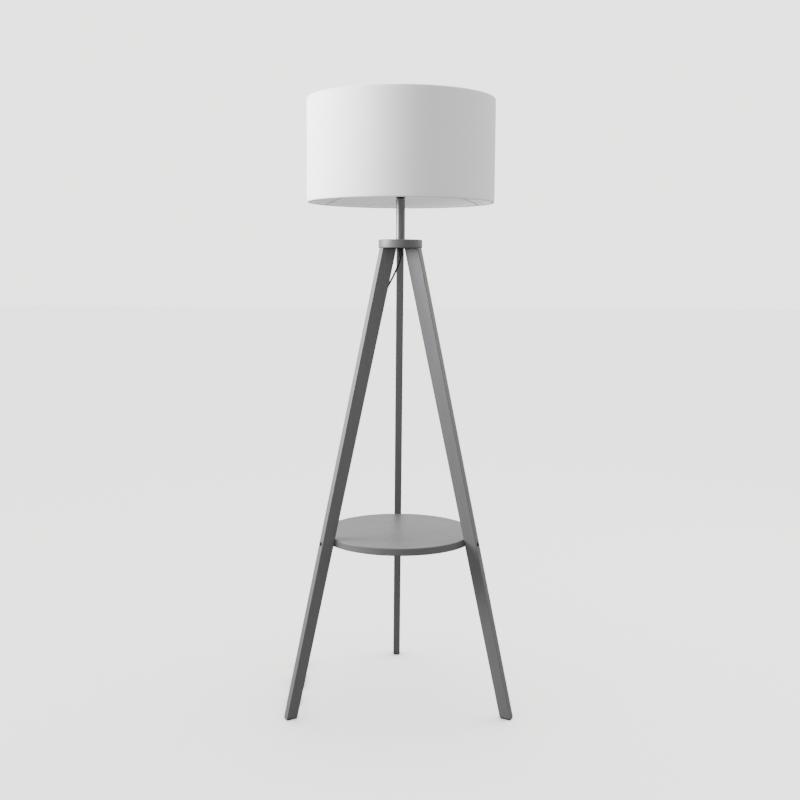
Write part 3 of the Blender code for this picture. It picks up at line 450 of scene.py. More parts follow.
def rounded(bm, edges, width, segments):
    bmesh.ops.bevel(
        bm,
        geom=edges,
        offset=width,
        offset_type="OFFSET",
        segments=segments,
        profile=0.5,
        affect="EDGES",
        clamp_overlap=True,
        material=-1,
    )
    return bm


def soften(bm, width, segments=3, sharper=35.0):
    """Rounds every edge sharper than an angle."""
    limit = math.radians(sharper)
    edges = [e for e in bm.edges if e.is_manifold and e.calc_face_angle(0.0) > limit]
    return rounded(bm, edges, width, segments)


def drawn_out(bm, faces):
    """Extrudes faces, and returns their new corners, which haven't moved yet."""
    grown = bmesh.ops.extrude_face_region(bm, geom=faces)["geom"]
    bmesh.ops.delete(bm, geom=faces, context="FACES_ONLY")
    return [v for v in grown if isinstance(v, bmesh.types.BMVert)]


def box(size, centre):
    bm = bmesh.new()
    place = Matrix.Translation(centre) @ Matrix.Diagonal((*size, 1.0))
    bmesh.ops.create_cube(bm, size=1.0, matrix=place)
    return bm


def rod(radius, low, high, segments=32, top_radius=None):
    """A rod or cone on the Z axis, from low to high."""
    bm = bmesh.new()
    bmesh.ops.create_cone(
        bm,
        cap_ends=True,
        segments=segments,
        radius1=radius,
        radius2=radius if top_radius is None else top_radius,
        depth=high - low,
        matrix=Matrix.Translation((0, 0, (low + high) / 2)),
    )
    return bm


def move(bm, matrix):
    bmesh.ops.transform(bm, matrix=matrix, verts=bm.verts[:])
    return bm


def add(bm, other):
    """Puts another bmesh's shape into the first one."""
    data = bpy.data.meshes.new("joined")
    other.to_mesh(data)
    other.free()
    bm.from_mesh(data)
    bpy.data.meshes.remove(data)
    return bm


def drilled(bm, *tools):
    """Cuts tools out of a shape, one after another."""
    data = bpy.data.meshes.new("blank")
    bm.to_mesh(data)
    bm.free()
    blank = new_object("blank", data)
    cutters = []
    for tool in tools:
        shape = bpy.data.meshes.new("tool")
        tool.to_mesh(shape)
        tool.free()
        cutter = new_object("tool", shape)
        cutters.append(cutter)
        cut = blank.modifiers.new("cut", "BOOLEAN")
        cut.object = cutter
        cut.solver = "EXACT"
    bpy.context.view_layer.update()
    seen = blank.evaluated_get(bpy.context.evaluated_depsgraph_get())
    made = bmesh.new()
    made.from_mesh(seen.to_mesh())
    seen.to_mesh_clear()
    for used in [blank, *cutters]:
        shape = used.data
        bpy.data.objects.remove(used, do_unlink=True)
        bpy.data.meshes.remove(shape)
    return made


def refined(name, node, material, body, edge=0.0003, segments=2):
    """A merged copy of a CAD piece with its edges softened."""
    bm = bmesh.new()
    bm.from_mesh(NODES[node].data)
    bmesh.ops.remove_doubles(bm, verts=bm.verts[:], dist=1e-6)
    bmesh.ops.dissolve_limit(
        bm, angle_limit=math.radians(1), verts=bm.verts[:], edges=bm.edges[:]
    )
    if edge:
        soften(bm, edge, segments)
    return lay_down(name, bm, material, body, [node])


def towards(degrees):
    """The frame of a direction round the lamp's axis: X outward, Z up."""
    return Matrix.Translation((0, AXIS_Y, 0)) @ Matrix.Rotation(math.radians(degrees), 4, "Z")


# ------------------------------------------------------------ the cord and its route
def leg_in(z):
    share = (LEG_TOP_Z - z) / (LEG_TOP_Z - LEG_LOW_Z)
    return LEG_TOP_IN + (LEG_FOOT_IN - LEG_TOP_IN) * share


def leg_out(z):
    share = (LEG_TOP_Z - z) / (LEG_TOP_Z - LEG_LOW_Z)
    return LEG_TOP_OUT + (LEG_FOOT_OUT - LEG_TOP_OUT) * share


def leg_middle(z):
    return (leg_in(z) + leg_out(z)) / 2


def beside_leg(z, along, off=CORD_OFF_LEG):
    """A point beside the left leg's hidden face: so far along its width, and off its middle."""
    return Matrix.Rotation(math.radians(LEGS["left"]), 3, "Z") @ Vector((along, -off, z))


def down_the_leg():
    points = [
        Vector((0, 0, GRIP_LOW_Z + 0.004)),
        Vector((0, 0, GRIP_LOW_Z - GAP)),
        Vector((-0.0006, -0.0002, GRIP_LOW_Z - 0.004)),
        Vector((-0.0027, -0.0007, GRIP_LOW_Z - 0.0135)),
        Vector((-0.0098, -0.0024, GRIP_LOW_Z - 0.0317)),
        Vector((-0.0190, -0.0046, GRIP_LOW_Z - 0.0512)),
        Vector((-0.0289, -0.0070, GRIP_LOW_Z - 0.070)),
        beside_leg(GRIP_LOW_Z - 0.091, 0.0395, CORD_OFF_LEG + 0.0002),
        beside_leg(LEG_TOP_Z - 0.138, 0.0508, CORD_OFF_LEG + 0.0012),
    ]
    for share, short in ((0.8415, 0.0112), (0.8059, 0.0062), (0.7676, 0.0018)):
        z = LEG_TOP_Z * share
        points.append(beside_leg(z, leg_middle(z) - short))
    for share in CORD_SHARES:
        z = LEG_TOP_Z * share
        points.append(beside_leg(z, leg_middle(z)))
    return points


def along_the_floor():
    x = FLOOR_LINE_X
    return [
        beside_leg(0.0480, 0.28785, CORD_OFF_LEG + 0.0010),
        beside_leg(0.0330, 0.28788, CORD_OFF_LEG + 0.0036),
        beside_leg(0.0185, 0.28560, CORD_OFF_LEG + 0.0087),
        Vector((-0.2577, -0.1150, 0.0085)),
        Vector((x, -0.1010, 0.0052)),
        Vector((x, -0.0880, 0.0068)),
        Vector((x, SWITCH_FROM_Y - GAP, SWITCH_CORD_Z)),
        Vector((x, SWITCH_TO_Y + GAP, SWITCH_CORD_Z)),
        Vector((x, SWITCH_TO_Y + 0.006, SWITCH_CORD_Z - 0.0005)),
        Vector((x - 0.004, SWITCH_TO_Y + 0.018, 0.0042)),
        Vector((x - 0.0105, SWITCH_TO_Y + 0.029, CORD_FLOOR_Z)),
        Vector((x - HANK_FOLD / 2, HANK_FROM_Y + 0.0042, CORD_FLOOR_Z)),
    ]


def round_the_hank():
    """Five runs, three layers high, with a fold between one run and the next."""
    half = HANK_FOLD / 2
    near = HANK_FROM_Y + HANK_WIDTH / 2
    far = near + HANK_RUN
    layers = [0, 0, 1, 1, 2]
    points = []
    for run, layer in enumerate(layers):
        side = -1 if run % 2 == 0 else 1
        start, end = (near, far) if run % 2 == 0 else (far, near)
        z = CORD_FLOOR_Z + layer * 2 * CORD_RADIUS
        shares = (0.0, 0.25, 0.5, 0.75, 1.0) if run < 4 else (0.0, 0.25, 0.5)
        for share in shares:
            tied = 1 - abs(share - 0.5) * 2
            x = FLOOR_LINE_X + side * (half - 0.0012 * tied)
            points.append(Vector((x, start + (end - start) * share, z + 0.0009 * tied)))
        if run == 4:
            break
        rise = (layers[run + 1] - layer) * 2 * CORD_RADIUS
        for turn in (45, 90, 135):
            a = math.radians(turn)
            y = end + half * math.sin(a) * (1 if end == far else -1)
            x = FLOOR_LINE_X + side * half * math.cos(a)
            points.append(Vector((x, y, z + rise * turn / 180)))
    return points


def to_the_plug():
    x = FLOOR_LINE_X
    high = HANK_TOP - CORD_RADIUS
    return [
        Vector((x - 0.0085, HANK_TO_Y - 0.030, high + 0.0004)),
        Vector((x + 0.0005, HANK_TO_Y - 0.012, high + 0.0003)),
        Vector((x + 0.0040, HANK_TO_Y + GAP, high)),
        Vector((x + 0.0030, HANK_TO_Y + 0.008, high - 0.0006)),
        Vector((x + 0.0008, HANK_TO_Y + 0.017, PLUG_CORD_Z + 0.0008)),
        Vector((x, PLUG_FROM_Y - GAP, PLUG_CORD_Z)),
        Vector((x, PLUG_FROM_Y + 0.006, PLUG_CORD_Z)),
    ]


def smooth_curve(points, cuts=24):
    """Close points on one smooth curve through the route's own points."""
    ends = [2 * points[0] - points[1], *points, 2 * points[-1] - points[-2]]
    fine = []
    for before, one, two, after in zip(ends, ends[1:], ends[2:], ends[3:]):
        knots = [0.0]
        for here, there in ((before, one), (one, two), (two, after)):
            knots.append(knots[-1] + math.sqrt((there - here).length))
        t0, t1, t2, t3 = knots
        for k in range(cuts):
            t = t1 + (t2 - t1) * k / cuts
            a = before.lerp(one, (t - t0) / (t1 - t0))
            b = one.lerp(two, (t - t1) / (t2 - t1))
            c = two.lerp(after, (t - t2) / (t3 - t2))
            d = a.lerp(b, (t - t0) / (t2 - t0))
            e = b.lerp(c, (t - t1) / (t3 - t1))
            fine.append(d.lerp(e, (t - t1) / (t2 - t1)))
    return [*fine, points[-1]]


def evenly(fine, step):
    """Points about a step apart along a fine line."""
    total = sum((b - a).length for a, b in zip(fine, fine[1:]))
    count = max(2, round(total / step))
    wanted = [total * k / count for k in range(1, count)]
    found = [fine[0]]
    gone = 0.0
    for one, two in zip(fine, fine[1:]):
        length = (two - one).length
        while wanted and gone + length >= wanted[0]:
            found.append(one.lerp(two, (wanted.pop(0) - gone) / length))
        gone += length
    return [*found, fine[-1]]


def make_cord():
    route = down_the_leg() + along_the_floor() + round_the_hank() + to_the_plug()
    points = evenly(smooth_curve(route), CORD_STEP)
    data = bpy.data.curves.new("mains_cord", "CURVE")
    data.dimensions = "3D"
    data.bevel_depth = CORD_RADIUS
    data.bevel_resolution = 4
    data.use_fill_caps = True
    line = data.splines.new("POLY")
    line.points.add(len(points) - 1)
    for point, at in zip(line.points, points):
        point.co = (at.x, at.y + AXIS_Y, at.z, 1.0)
    line.use_smooth = True
    data.materials.append(JACKET)
    return settle(
        new_object("mains_cord", data),
        "stand",
        ["cord_down_leg", "cord_to_hank", "cord_to_plug", "cord_hank"],
    )


# ------------------------------------------------------------ what is on the cord
def make_tie():
    """A hook-and-loop strip round the hank, its end lapped over on top."""
    y = AXIS_Y + (HANK_FROM_Y + HANK_TO_Y) / 2
    broad = 0.012
    thick = 0.0009
    low, top = thick + GAP, HANK_TOP + 0.0012
    bm = box((HANK_WIDTH - 0.0004, broad, top - low), (FLOOR_LINE_X, y, (top + low) / 2))
    ends = [f for f in bm.faces if abs(f.normal.y) > 0.5]
    bmesh.ops.delete(bm, geom=ends, context="FACES_ONLY")
    corners = [e for e in bm.edges if abs(e.verts[0].co.y - e.verts[1].co.y) > broad / 2]
    rounded(bm, corners, 0.0042, 6)
    bmesh.ops.solidify(bm, geom=bm.faces[:], thickness=-thick)
    bmesh.ops.recalc_face_normals(bm, faces=bm.faces[:])
    soften(bm, 0.0002, 2, 60)
    lap = box((0.016, broad - 0.0002, thick), (FLOOR_LINE_X + 0.003, y, top + 1.5 * thick))
    add(bm, soften(lap, 0.0002))
    return lay_down("cord_tie", bm, LOOPS, "stand", ["hank_tie"])


def ribbed_sleeve(ribs, pitch, first, grows, rib, groove_to, deep):
    """A sleeve for the cord, up from the origin; a rib and a groove share each pitch."""
    rib_from, rib_to = rib
    profile = [(SLEEVE_BORE, 0.0)]
    for number in range(ribs):
        radius = first + grows * number
        start = pitch * number
        profile += [(radius, start + rib_from), (radius, start + rib_to)]
        profile += [(radius - deep, start + rib_to + 0.0001), (radius - deep, start + groove_to)]
    profile.append((SLEEVE_BORE, pitch * ribs))
    return turned(profile, 32, y=0)


def stadium(long, wide, low, high, x, y):
    """A flat solid with round ends, long along Y."""
    bm = rod(wide / 2, low, high, 48)
    half = (long - wide) / 2
    for corner in bm.verts:
        if abs(corner.co.y) > 1e-6:
            corner.co.y += math.copysign(half, corner.co.y)
    return move(bm, Matrix.Translation((x, y, 0)))


def make_switch_cover():
    """The upper shell: a raised rim round the rocker's well, and a ribbed sleeve at each end."""
    low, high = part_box("switch_cover")
    x, y = FLOOR_LINE_X, (low.y + high.y) / 2
    long, wide = high.y - low.y, high.x - low.x
    rocker_low, rocker_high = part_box("switch_rocker")
    well = (
        rocker_high.x - rocker_low.x + 0.0010,
        rocker_high.y - rocker_low.y + 0.0020,
        0.012,
    )
    cover = soften(stadium(long, wide, low.z, high.z, x, y), 0.0026, 5)
    cover = drilled(cover, box(well, (x, y, high.z)))
    rim = (well[0] + 0.0026, well[1] + 0.0026, 0.0012)
    rim = soften(box(rim, (x, y, high.z + 0.0001)), 0.0004, 2)
    add(cover, drilled(rim, box(well, (x, y, high.z))))
    for end in (-1, 1):
        sleeve = ribbed_sleeve(4, 0.0022, 0.0052, -0.0005, (0, 0.0013), 0.0021, 0.0009)
        turn = Matrix.Rotation(-end * math.pi / 2, 4, "X")
        at = Matrix.Translation((x, y + end * (long / 2 - 0.0012), SWITCH_CORD_Z))
        add(cover, move(sleeve, at @ turn))
    return lay_down(
        "switch_top_shell", cover, PLASTIC, "stand", ["switch_cover"]
    )


def make_switch_base():
    low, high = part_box("switch_cover")
    base_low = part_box("switch_base")[0].z
    y = (low.y + high.y) / 2
    long, wide = high.y - low.y, high.x - low.x
    base = stadium(long, wide, base_low, low.z - GAP, FLOOR_LINE_X, y)
    soften(base, 0.0022, 4)
    return lay_down(
        "switch_lower_shell", base, PLASTIC, "stand", ["switch_base"]
    )


def make_switch():
    """Two shells, screwed together under a rocker."""
    made = [make_switch_cover(), make_switch_base()]
    for number in (1, 2):
        name, node = f"switch_fixing_{number}", f"switch_screw_{number}"
        made.append(refined(name, node, ZINC, "stand", 0.0002))
    rocker = refined(
        "switch_rocker_cap", "switch_rocker", ROCKER_PLASTIC, "rocker", 0.0008, 4
    )
    return [*made, rocker]


def make_plug_body():
    """A moulded plug: a grip with finger ribs, and a ringed tail round the cord."""
    low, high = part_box("plug_body")
    x = FLOOR_LINE_X
    z = (low.z + high.z) / 2
    tail = 0.022
    body_y = low.y + tail
    size = (high.x - low.x, high.y - body_y, high.z - low.z)
    bm = box(size, (x, (body_y + high.y) / 2, z))
    for corner in drawn_out(bm, [f for f in bm.faces if f.normal.y < -0.5]):
        corner.co.x = x + (corner.co.x - x) * 0.56
        corner.co.z = z + (corner.co.z - z) * 0.62
        corner.co.y -= 0.008
    soften(bm, 0.0032, 5, 20)
    for rib in range(4):
        at_y = body_y + 0.0085 + rib * 0.0038
        for side in (-1, 1):
            at = (x + side * size[0] / 2, at_y, z)
            add(bm, soften(box((0.0012, 0.0018, size[2] * 0.62), at), 0.0004, 2))
    boot = ribbed_sleeve(6, 0.0026, 0.0035, 0.00042, (0.0002, 0.0018), 0.0026, 0.0008)
    turn = Matrix.Rotation(-math.pi / 2, 4, "X")
    add(bm, move(boot, Matrix.Translation((x, low.y, z)) @ turn))
    return lay_down("plug_moulding", bm, PLASTIC, "stand", ["plug_body"])


def make_plug_pin(number):
    """A flat brass blade with a hole near its end."""
    node = f"plug_blade_{number}"
    low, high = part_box(node)
    at = middle_of(node)
    hole_at = Matrix.Translation((at.x, high.y - 0.0045, at.z))
    hole = move(rod(0.0016, -0.004, 0.004, 20), hole_at @ TO_OUTWARD)
    blade = drilled(soften(box(high - low, at), 0.0003, 2), hole)
    return lay_down(f"plug_pin_{number}", blade, BRASS, "stand", [node])


def make_plug():
    return [make_plug_body(), make_plug_pin(1), make_plug_pin(2)]


def make_clips():
    """Saddles on the leg's hidden face, each held by two round-headed pins."""
    lean = (leg_middle(0.2) - leg_middle(0.8)) / 0.6
    from_middle = 0.0053
    for number in (1, 2, 3):
        node = f"cord_clip_{number}"
        clip = refined(f"cord_saddle_{number}", node, PLASTIC, "stand", 0.0003)
        z = middle_of(node).z
        for end, side in (("a", -1), ("b", 1)):
            pin = soften(rod(0.0011, 0, 0.0009, 20, 0.0006), 0.0002, 2)
            at = Vector((leg_middle(z), -LEG_THICK / 2 - 0.0015, z))
            at += side * from_middle * Vector((1, 0, lean))
            place = towards(LEGS["left"]) @ Matrix.Translation(at)
            lies = Matrix.Rotation(math.pi / 2, 4, "X")
            name = f"saddle_pin_{number}_{end}"
            head = lay_down(name, move(pin, place @ lies), ZINC, "stand")
            head.parent = clip
            head.matrix_parent_inverse = Matrix.Identity(4)


cord = make_cord()
tie = make_tie()
switch = make_switch()
plug = make_plug()
make_clips()


# ------------------------------------------------------------ legs, shelf and hub
def grain_map(bm):
    """Lays the timber's grain along the piece's own length, before it is put in its place."""
    layer = bm.loops.layers.uv.new("grain")
    for face in bm.faces:
        for loop in face.loops:
            loop[layer].uv = (loop.vert.co.x + loop.vert.co.y, loop.vert.co.z)


def shelf_bolt_hole(degrees):
    """The counterbore that the shelf's bolt is sunk in, on a leg's outer face."""
    z = SHELF_MIDDLE_Z
    deep = SHELF_BOLT_SUNK + SHELF_BOLT_HEAD_THICK + GAP
    hole = rod(SHELF_BOLT_HEAD + GAP, leg_out(z) - deep, leg_out(z) + 0.02, 40)
    return move(hole, towards(degrees) @ Matrix.Translation((0, 0, z)) @ TO_OUTWARD)


def make_leg(side, degrees):
    bm = box((1, LEG_THICK, LEG_TOP_Z - LEG_LOW_Z), (0, 0, (LEG_TOP_Z + LEG_LOW_Z) / 2))
    for corner in bm.verts:
        corner.co.x = (leg_out if corner.co.x > 0 else leg_in)(corner.co.z)
    soften(bm, LEG_EDGE, 4)
    grain_map(bm)
    move(bm, towards(degrees))
    bm = drilled(bm, shelf_bolt_hole(degrees))
    lay_down(f"{side}_leg_board", bm, LEG_PAINT, "stand", [f"leg_{side}"])
    refined(f"{side}_foot_felt", f"foot_pad_{side}", FELT, "stand", 0.0005, 3)


def socket_bolt(profile, place):
    """A bolt with a hexagon socket, its head's top at the place's origin and its shank down -Z."""
    bolt = soften(turned(profile, 40, loop=False, y=0), 0.0004, 3, 50)
    return move(drilled(bolt, rod(ALLEN_KEY_RADIUS, -ALLEN_KEY_DEEP, 0.002, 6)), place)


def make_shelf_bolts():
    """Cap-head bolts through the legs into the shelf's edge."""
    profile = [
        (0, 0),
        (SHELF_BOLT_HEAD, 0),
        (SHELF_BOLT_HEAD, -SHELF_BOLT_HEAD_THICK),
        (SHELF_BOLT_RADIUS, -SHELF_BOLT_HEAD_THICK),
        (SHELF_BOLT_RADIUS, -SHELF_BOLT_LENGTH),
        (0, -SHELF_BOLT_LENGTH),
    ]
    z = SHELF_MIDDLE_Z
    for side, degrees in LEGS.items():
        head_at = Matrix.Translation((leg_out(z) - SHELF_BOLT_SUNK, 0, z))
        bolt = socket_bolt(profile, towards(degrees) @ head_at @ TO_OUTWARD)
        node = f"shelf_screw_{side}"
        lay_down(f"{side}_shelf_bolt", bolt, BLACK_STEEL, "stand", [node])


def make_shelf():
    """A round board with a softened edge, planed where it beds against each leg."""
    bm = rod(SHELF_RADIUS, SHELF_LOW_Z, SHELF_TOP_Z, 240)
    move(bm, Matrix.Translation((0, AXIS_Y, 0)))
    slope = (leg_in(0.4) - leg_in(0.5)) / 0.1
    for degrees in LEGS.values():
        place = towards(degrees)
        at = place @ Vector((leg_in(SHELF_TOP_Z) - GAP, 0, SHELF_TOP_Z))
        facing = (place.to_3x3() @ Vector((1, 0, slope))).normalized()
        made = bmesh.ops.bisect_plane(
            bm,
            geom=bm.verts[:] + bm.edges[:] + bm.faces[:],
            plane_co=at,
            plane_no=facing,
            clear_outer=True,
        )
        edges = [e for e in made["geom_cut"] if isinstance(e, bmesh.types.BMEdge)]
        bmesh.ops.holes_fill(bm, edges=edges)
    soften(bm, SHELF_EDGE, 4, 50)
    lay_down("round_shelf", bm, PAINT, "stand", ["shelf"])


def hub_bolt_sink(degrees):
    """The countersunk hole for one of the hub's bolts."""
    head, hole = HUB_BOLT_HEAD + GAP, HUB_BOLT_RADIUS + GAP
    cone = head - hole + GAP
    above, through = 0.01, -0.04
    profile = [
        (0, above),
        (head, above),
        (head, -GAP),
        (hole, -cone),
        (hole, through),
        (0, through),
    ]
    place = towards(degrees) @ Matrix.Translation((HUB_BOLT_CIRCLE, 0, HUB_TOP_Z))
    return move(turned(profile, 32, loop=False, y=0), place)


def make_hub():
    """The round block on the legs' tops, recessed underneath for the washer and the nut."""
    recess = HUB_LOW_Z + HUB_RECESS_DEEP
    seat = HUB_TOP_Z - STEM_SEAT_DEEP
    profile = [
        (STEM_RADIUS + GAP, HUB_TOP_Z),
        (HUB_RADIUS, HUB_TOP_Z),
        (HUB_RADIUS, HUB_LOW_Z),
        (HUB_RECESS_RADIUS, HUB_LOW_Z),
        (HUB_RECESS_RADIUS, recess),
        (ROD_HOLE, recess),
        (ROD_HOLE, seat),
        (STEM_RADIUS + GAP, seat),
    ]
    bm = turned(profile, 200)
    outer = [
        e
        for e in bm.edges
        if all((v.co - Vector((0, AXIS_Y, v.co.z))).length > HUB_RADIUS - 0.003 for v in e.verts)
        and e.calc_face_angle(0.0) > 1
    ]
    rounded(bm, outer, HUB_EDGE, 4)
    bm = drilled(bm, *[hub_bolt_sink(degrees) for degrees in LEGS.values()])
    lay_down("hub_block", bm, PAINT, "stand", ["hub"])


def make_hub_bolts():
    """Countersunk bolts through the hub into the legs."""
    profile = [
        (0, 0),
        (HUB_BOLT_HEAD, 0),
        (HUB_BOLT_RADIUS, HUB_BOLT_RADIUS - HUB_BOLT_HEAD),
        (HUB_BOLT_RADIUS, -HUB_BOLT_LENGTH),
        (0, -HUB_BOLT_LENGTH),
    ]
    for side, degrees in LEGS.items():
        place = towards(degrees) @ Matrix.Translation((HUB_BOLT_CIRCLE, 0, HUB_TOP_Z - GAP))
        node = f"hub_screw_{side}"
        lay_down(f"{side}_hub_bolt", socket_bolt(profile, place), ZINC, "stand", [node])


for side, degrees in LEGS.items():
    make_leg(side, degrees)
make_shelf_bolts()
make_shelf()
make_hub()
make_hub_bolts()


# ------------------------------------------------------------ stem, grip and lampholder
def make_stem():
    low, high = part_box("stem")
    inner = STEM_RADIUS - STEM_WALL
    profile = [(inner, low.z), (inner, high.z), (STEM_RADIUS, high.z), (STEM_RADIUS, low.z)]
    bm = soften(turned(profile, 96), 0.0004, 3, 60)
    lay_down("stem_tube", bm, STEM_COATING, "stand", ["stem"])
    low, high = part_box("stem_washer")
    outer = radius_of("stem_washer")
    ring = [(ROD_HOLE, low.z), (ROD_HOLE, high.z), (outer, high.z), (outer, low.z)]
    bm = soften(turned(ring, 72), 0.0003, 2, 60)
    lay_down("stem_end_washer", bm, STEM_COATING, "stand", ["stem_washer"])
    refined("stem_nut", "hub_nut", ZINC, "stand", 0.0005, 2)
    refined("stem_nut_washer", "hub_washer", ZINC, "stand", 0.0002, 1)


def threads(radius, depth, low, high, pitch):
    """The outer side of a threaded piece, from the bottom up, as rounded ridges."""
    points = []
    count = int((high - low) / pitch)
    for turn in range(count):
        start = low + turn * pitch
        for share, rise in ((0.0, 0.0), (0.25, 0.6), (0.5, 1.0), (0.75, 0.6)):
            points.append((radius - depth + depth * rise, start + share * pitch))
    points.append((radius - depth, low + count * pitch))
    return points


def make_rod():
    low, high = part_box("threaded_rod")
    deep = 0.0004
    outer = threads(ROD_RADIUS, deep, low.z, high.z - 0.0005, 0.001)
    profile = [(ROD_BORE, high.z), (ROD_BORE, low.z), *outer, (ROD_RADIUS - deep, high.z)]
    lay_down("rod_with_thread", turned(profile, 40), ZINC, "stand", ["threaded_rod"])


def make_grip():
    """The cord grip: a waisted plastic barrel with a slotted clamping screw in its side."""
    low, high = GRIP_LOW_Z, GRIP_TOP_Z
    bore = CORD_RADIUS + 0.0002
    profile = [
        (bore, low),
        (GRIP_RADIUS - 0.0014, low),
        (GRIP_RADIUS - 0.0003, low + 0.0012),
        (GRIP_RADIUS, low + 0.0030),
        (GRIP_RADIUS, high - 0.0062),
        (GRIP_RADIUS - 0.0007, high - 0.0056),
        (GRIP_RADIUS - 0.0007, high - 0.0044),
        (GRIP_RADIUS, high - 0.0038),
        (GRIP_RADIUS, high - 0.0006),
        (GRIP_RADIUS - 0.0006, high),
        (ROD_HOLE, high),
        (ROD_HOLE, high - GRIP_ROD_DEEP),
        (bore, high - GRIP_ROD_DEEP),
    ]
    bm = turned(profile, 64)
    at = middle_of("cord_grip_screw")
    outward = Matrix.Rotation(GRIP_SCREW_TURN, 4, "Z") @ TO_OUTWARD
    boss_at = Matrix.Translation((0, AXIS_Y, at.z)) @ outward
    boss = soften(move(rod(0.0041, 0.0035, GRIP_RADIUS + 0.0006, 32), boss_at), 0.0004, 2, 50)
    bm = add(bm, boss)
    lay_down("grip_barrel", bm, PLASTIC, "stand", ["cord_grip"])
    screw = rod(0.0029, 0.0035, GRIP_RADIUS + 0.0016, 32)
    soften(screw, 0.0004, 3, 50)
    slot = box((0.0009, 0.008, 0.002), (0, 0, GRIP_RADIUS + 0.0016))
    screw = drilled(screw, slot)
    lay_down(
        "grip_clamp_screw", move(screw, boss_at), PLASTIC, "stand", ["cord_grip_screw"],
    )


def make_holder_cap():
    """The lampholder's flared cap, on the rod."""
    low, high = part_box("holder_cap")
    bottom, top = low.z, high.z
    wide = radius_of("holder_cap")
    profile = [
        (ROD_HOLE, bottom),
        (0.0090, bottom),
        (0.0095, bottom + 0.0006),
        (0.0110, bottom + 0.0024),
        (0.0160, bottom + 0.0077),
        (0.0196, bottom + 0.0112),
        (0.0214, bottom + 0.0130),
        (0.0223, bottom + 0.0146),
        (wide, bottom + 0.0166),
        (wide, top - 0.0092),
        (wide - 0.0006, top - 0.0088),
        (wide - 0.0006, top - 0.0076),
        (wide, top - 0.0072),
        (wide, top - 0.0007),
        (wide - 0.0007, top),
        (0.0201, top),
        (0.0201, bottom + 0.0158),
        (0.0095, bottom + 0.0100),
        (ROD_HOLE, bottom + 0.0100),
    ]
    bm = turned(profile, 96)
    lay_down("holder_flared_cap", bm, BAKELITE, "stand", ["holder_cap"], 40)


def make_holder_skirt():
    """The lampholder's threaded skirt, which takes the shade's rings."""
    low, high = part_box("holder_skirt")
    wide = radius_of("holder_skirt")
    wall = 0.002
    deep = 0.0007
    mouth = 0.0138
    outer = threads(wide, deep, low.z + 0.008, high.z - wall, 0.0022)
    profile = [
        (mouth, high.z),
        (mouth, high.z - wall),
        (wide - wall, high.z - wall),
        (wide - wall, low.z),
        (wide - deep, low.z),
        *outer,
        (wide - deep, high.z - 0.0004),
        (wide - 0.0011, high.z),
    ]
    bm = turned(profile, 96)
    lay_down("holder_threaded_skirt", bm, BAKELITE, "stand", ["holder_skirt"], 60)


def make_holder_shell():
    """The brass shell that the bulb screws into, one thin wall all the way."""
    low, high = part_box("holder_screw_shell")
    outer = threads(0.0143, 0.0006, low.z + 0.001, high.z - 0.0005, BULB_PITCH)
    profile = [(r - 0.0005, z) for r, z in reversed(outer)] + outer
    bm = turned(profile, 72)
    lay_down("holder_brass_shell", bm, BRASS, "stand", ["holder_screw_shell"], 60)


def make_shade_rings():
    """The two rings that clamp the shade, with finger flutes round their edges."""
    for which in ("upper", "lower"):
        node = f"shade_ring_{which}"
        low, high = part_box(node)
        wide = radius_of(node)
        middle = (low.z + high.z) / 2
        profile = [
            (0.0203, low.z + 0.0005),
            (0.0207, low.z),
            (wide - 0.0008, low.z),
            (wide, low.z + 0.0009),
            (wide, middle),
            (wide, high.z - 0.0009),
            (wide - 0.0008, high.z),
            (0.0207, high.z),
            (0.0203, high.z - 0.0005),
        ]
        steps = 180
        bm = turned(profile, steps)
        for corner in bm.verts:
            out = Vector((corner.co.x, corner.co.y - AXIS_Y, 0))
            if out.length < wide - 0.001:
                continue
            place = round(math.atan2(out.y, out.x) / (2 * math.pi) * steps) % 6
            if place in (0, 1, 2):
                corner.co -= out.normalized() * (0.0009 if place == 1 else 0.0006)
        lay_down(
            f"{which}_clamp_ring", bm, BAKELITE, f"{which}_shade_ring", [node]
        )


def make_bulb_cap():
    """The bulb's screw cap, with its thread between a plain foot and a plain collar."""
    low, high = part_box("bulb_cap")
    wide = 0.0131
    deep = 0.0008
    outer = threads(wide, deep, low.z + 0.002, high.z - 0.0065, BULB_PITCH)
    profile = [
        (0, low.z),
        (0.0100, low.z),
        (0.0119, low.z + 0.0010),
        *outer,
        (0.0124, high.z - 0.0058),
        (wide, high.z - 0.0052),
        (wide, high.z),
        (0, high.z),
    ]
    bm = turned(profile, 72, loop=False)
    lay_down("bulb_screw_cap", bm, NICKEL, "bulb", ["bulb_cap"], 60)


def make_bulb_glass():
    """A ball that runs into a neck: an arc, then an eased slope."""
    low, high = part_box("bulb_glass")
    radius = radius_of("bulb_glass")
    neck = 0.0135
    centre = high.z - radius
    crown = [math.radians(90 - 4 * k) for k in range(31)]
    profile = [(radius * math.cos(a), centre + radius * math.sin(a)) for a in crown]
    profile[0] = (0, high.z)
    waist_r, waist_z = profile[-1]
    for step in range(1, 13):
        share = step / 12
        ease = share * share * (3 - 2 * share)
        r = waist_r + (neck - waist_r) * (1.4 * share - 0.4 * ease)
        profile.append((r, waist_z + (low.z - waist_z) * share))
    profile.append((0, low.z))
    bm = turned(profile, 96, loop=False)
    lay_down("bulb_opal_envelope", bm, OPAL, "bulb", ["bulb_glass"], 50)


def make_bulb():
    """A round opal bulb on a screw cap."""
    make_bulb_cap()
    make_bulb_glass()
    refined("bulb_glass_disc", "bulb_insulator", BLACK_GLASS, "bulb", 0.0002)
    refined("bulb_solder_tip", "bulb_tip", ZINC, "bulb_seat", 0.0006, 3)


make_stem()
make_rod()
make_grip()
make_holder_cap()
make_holder_skirt()
make_holder_shell()
make_shade_rings()
make_bulb()


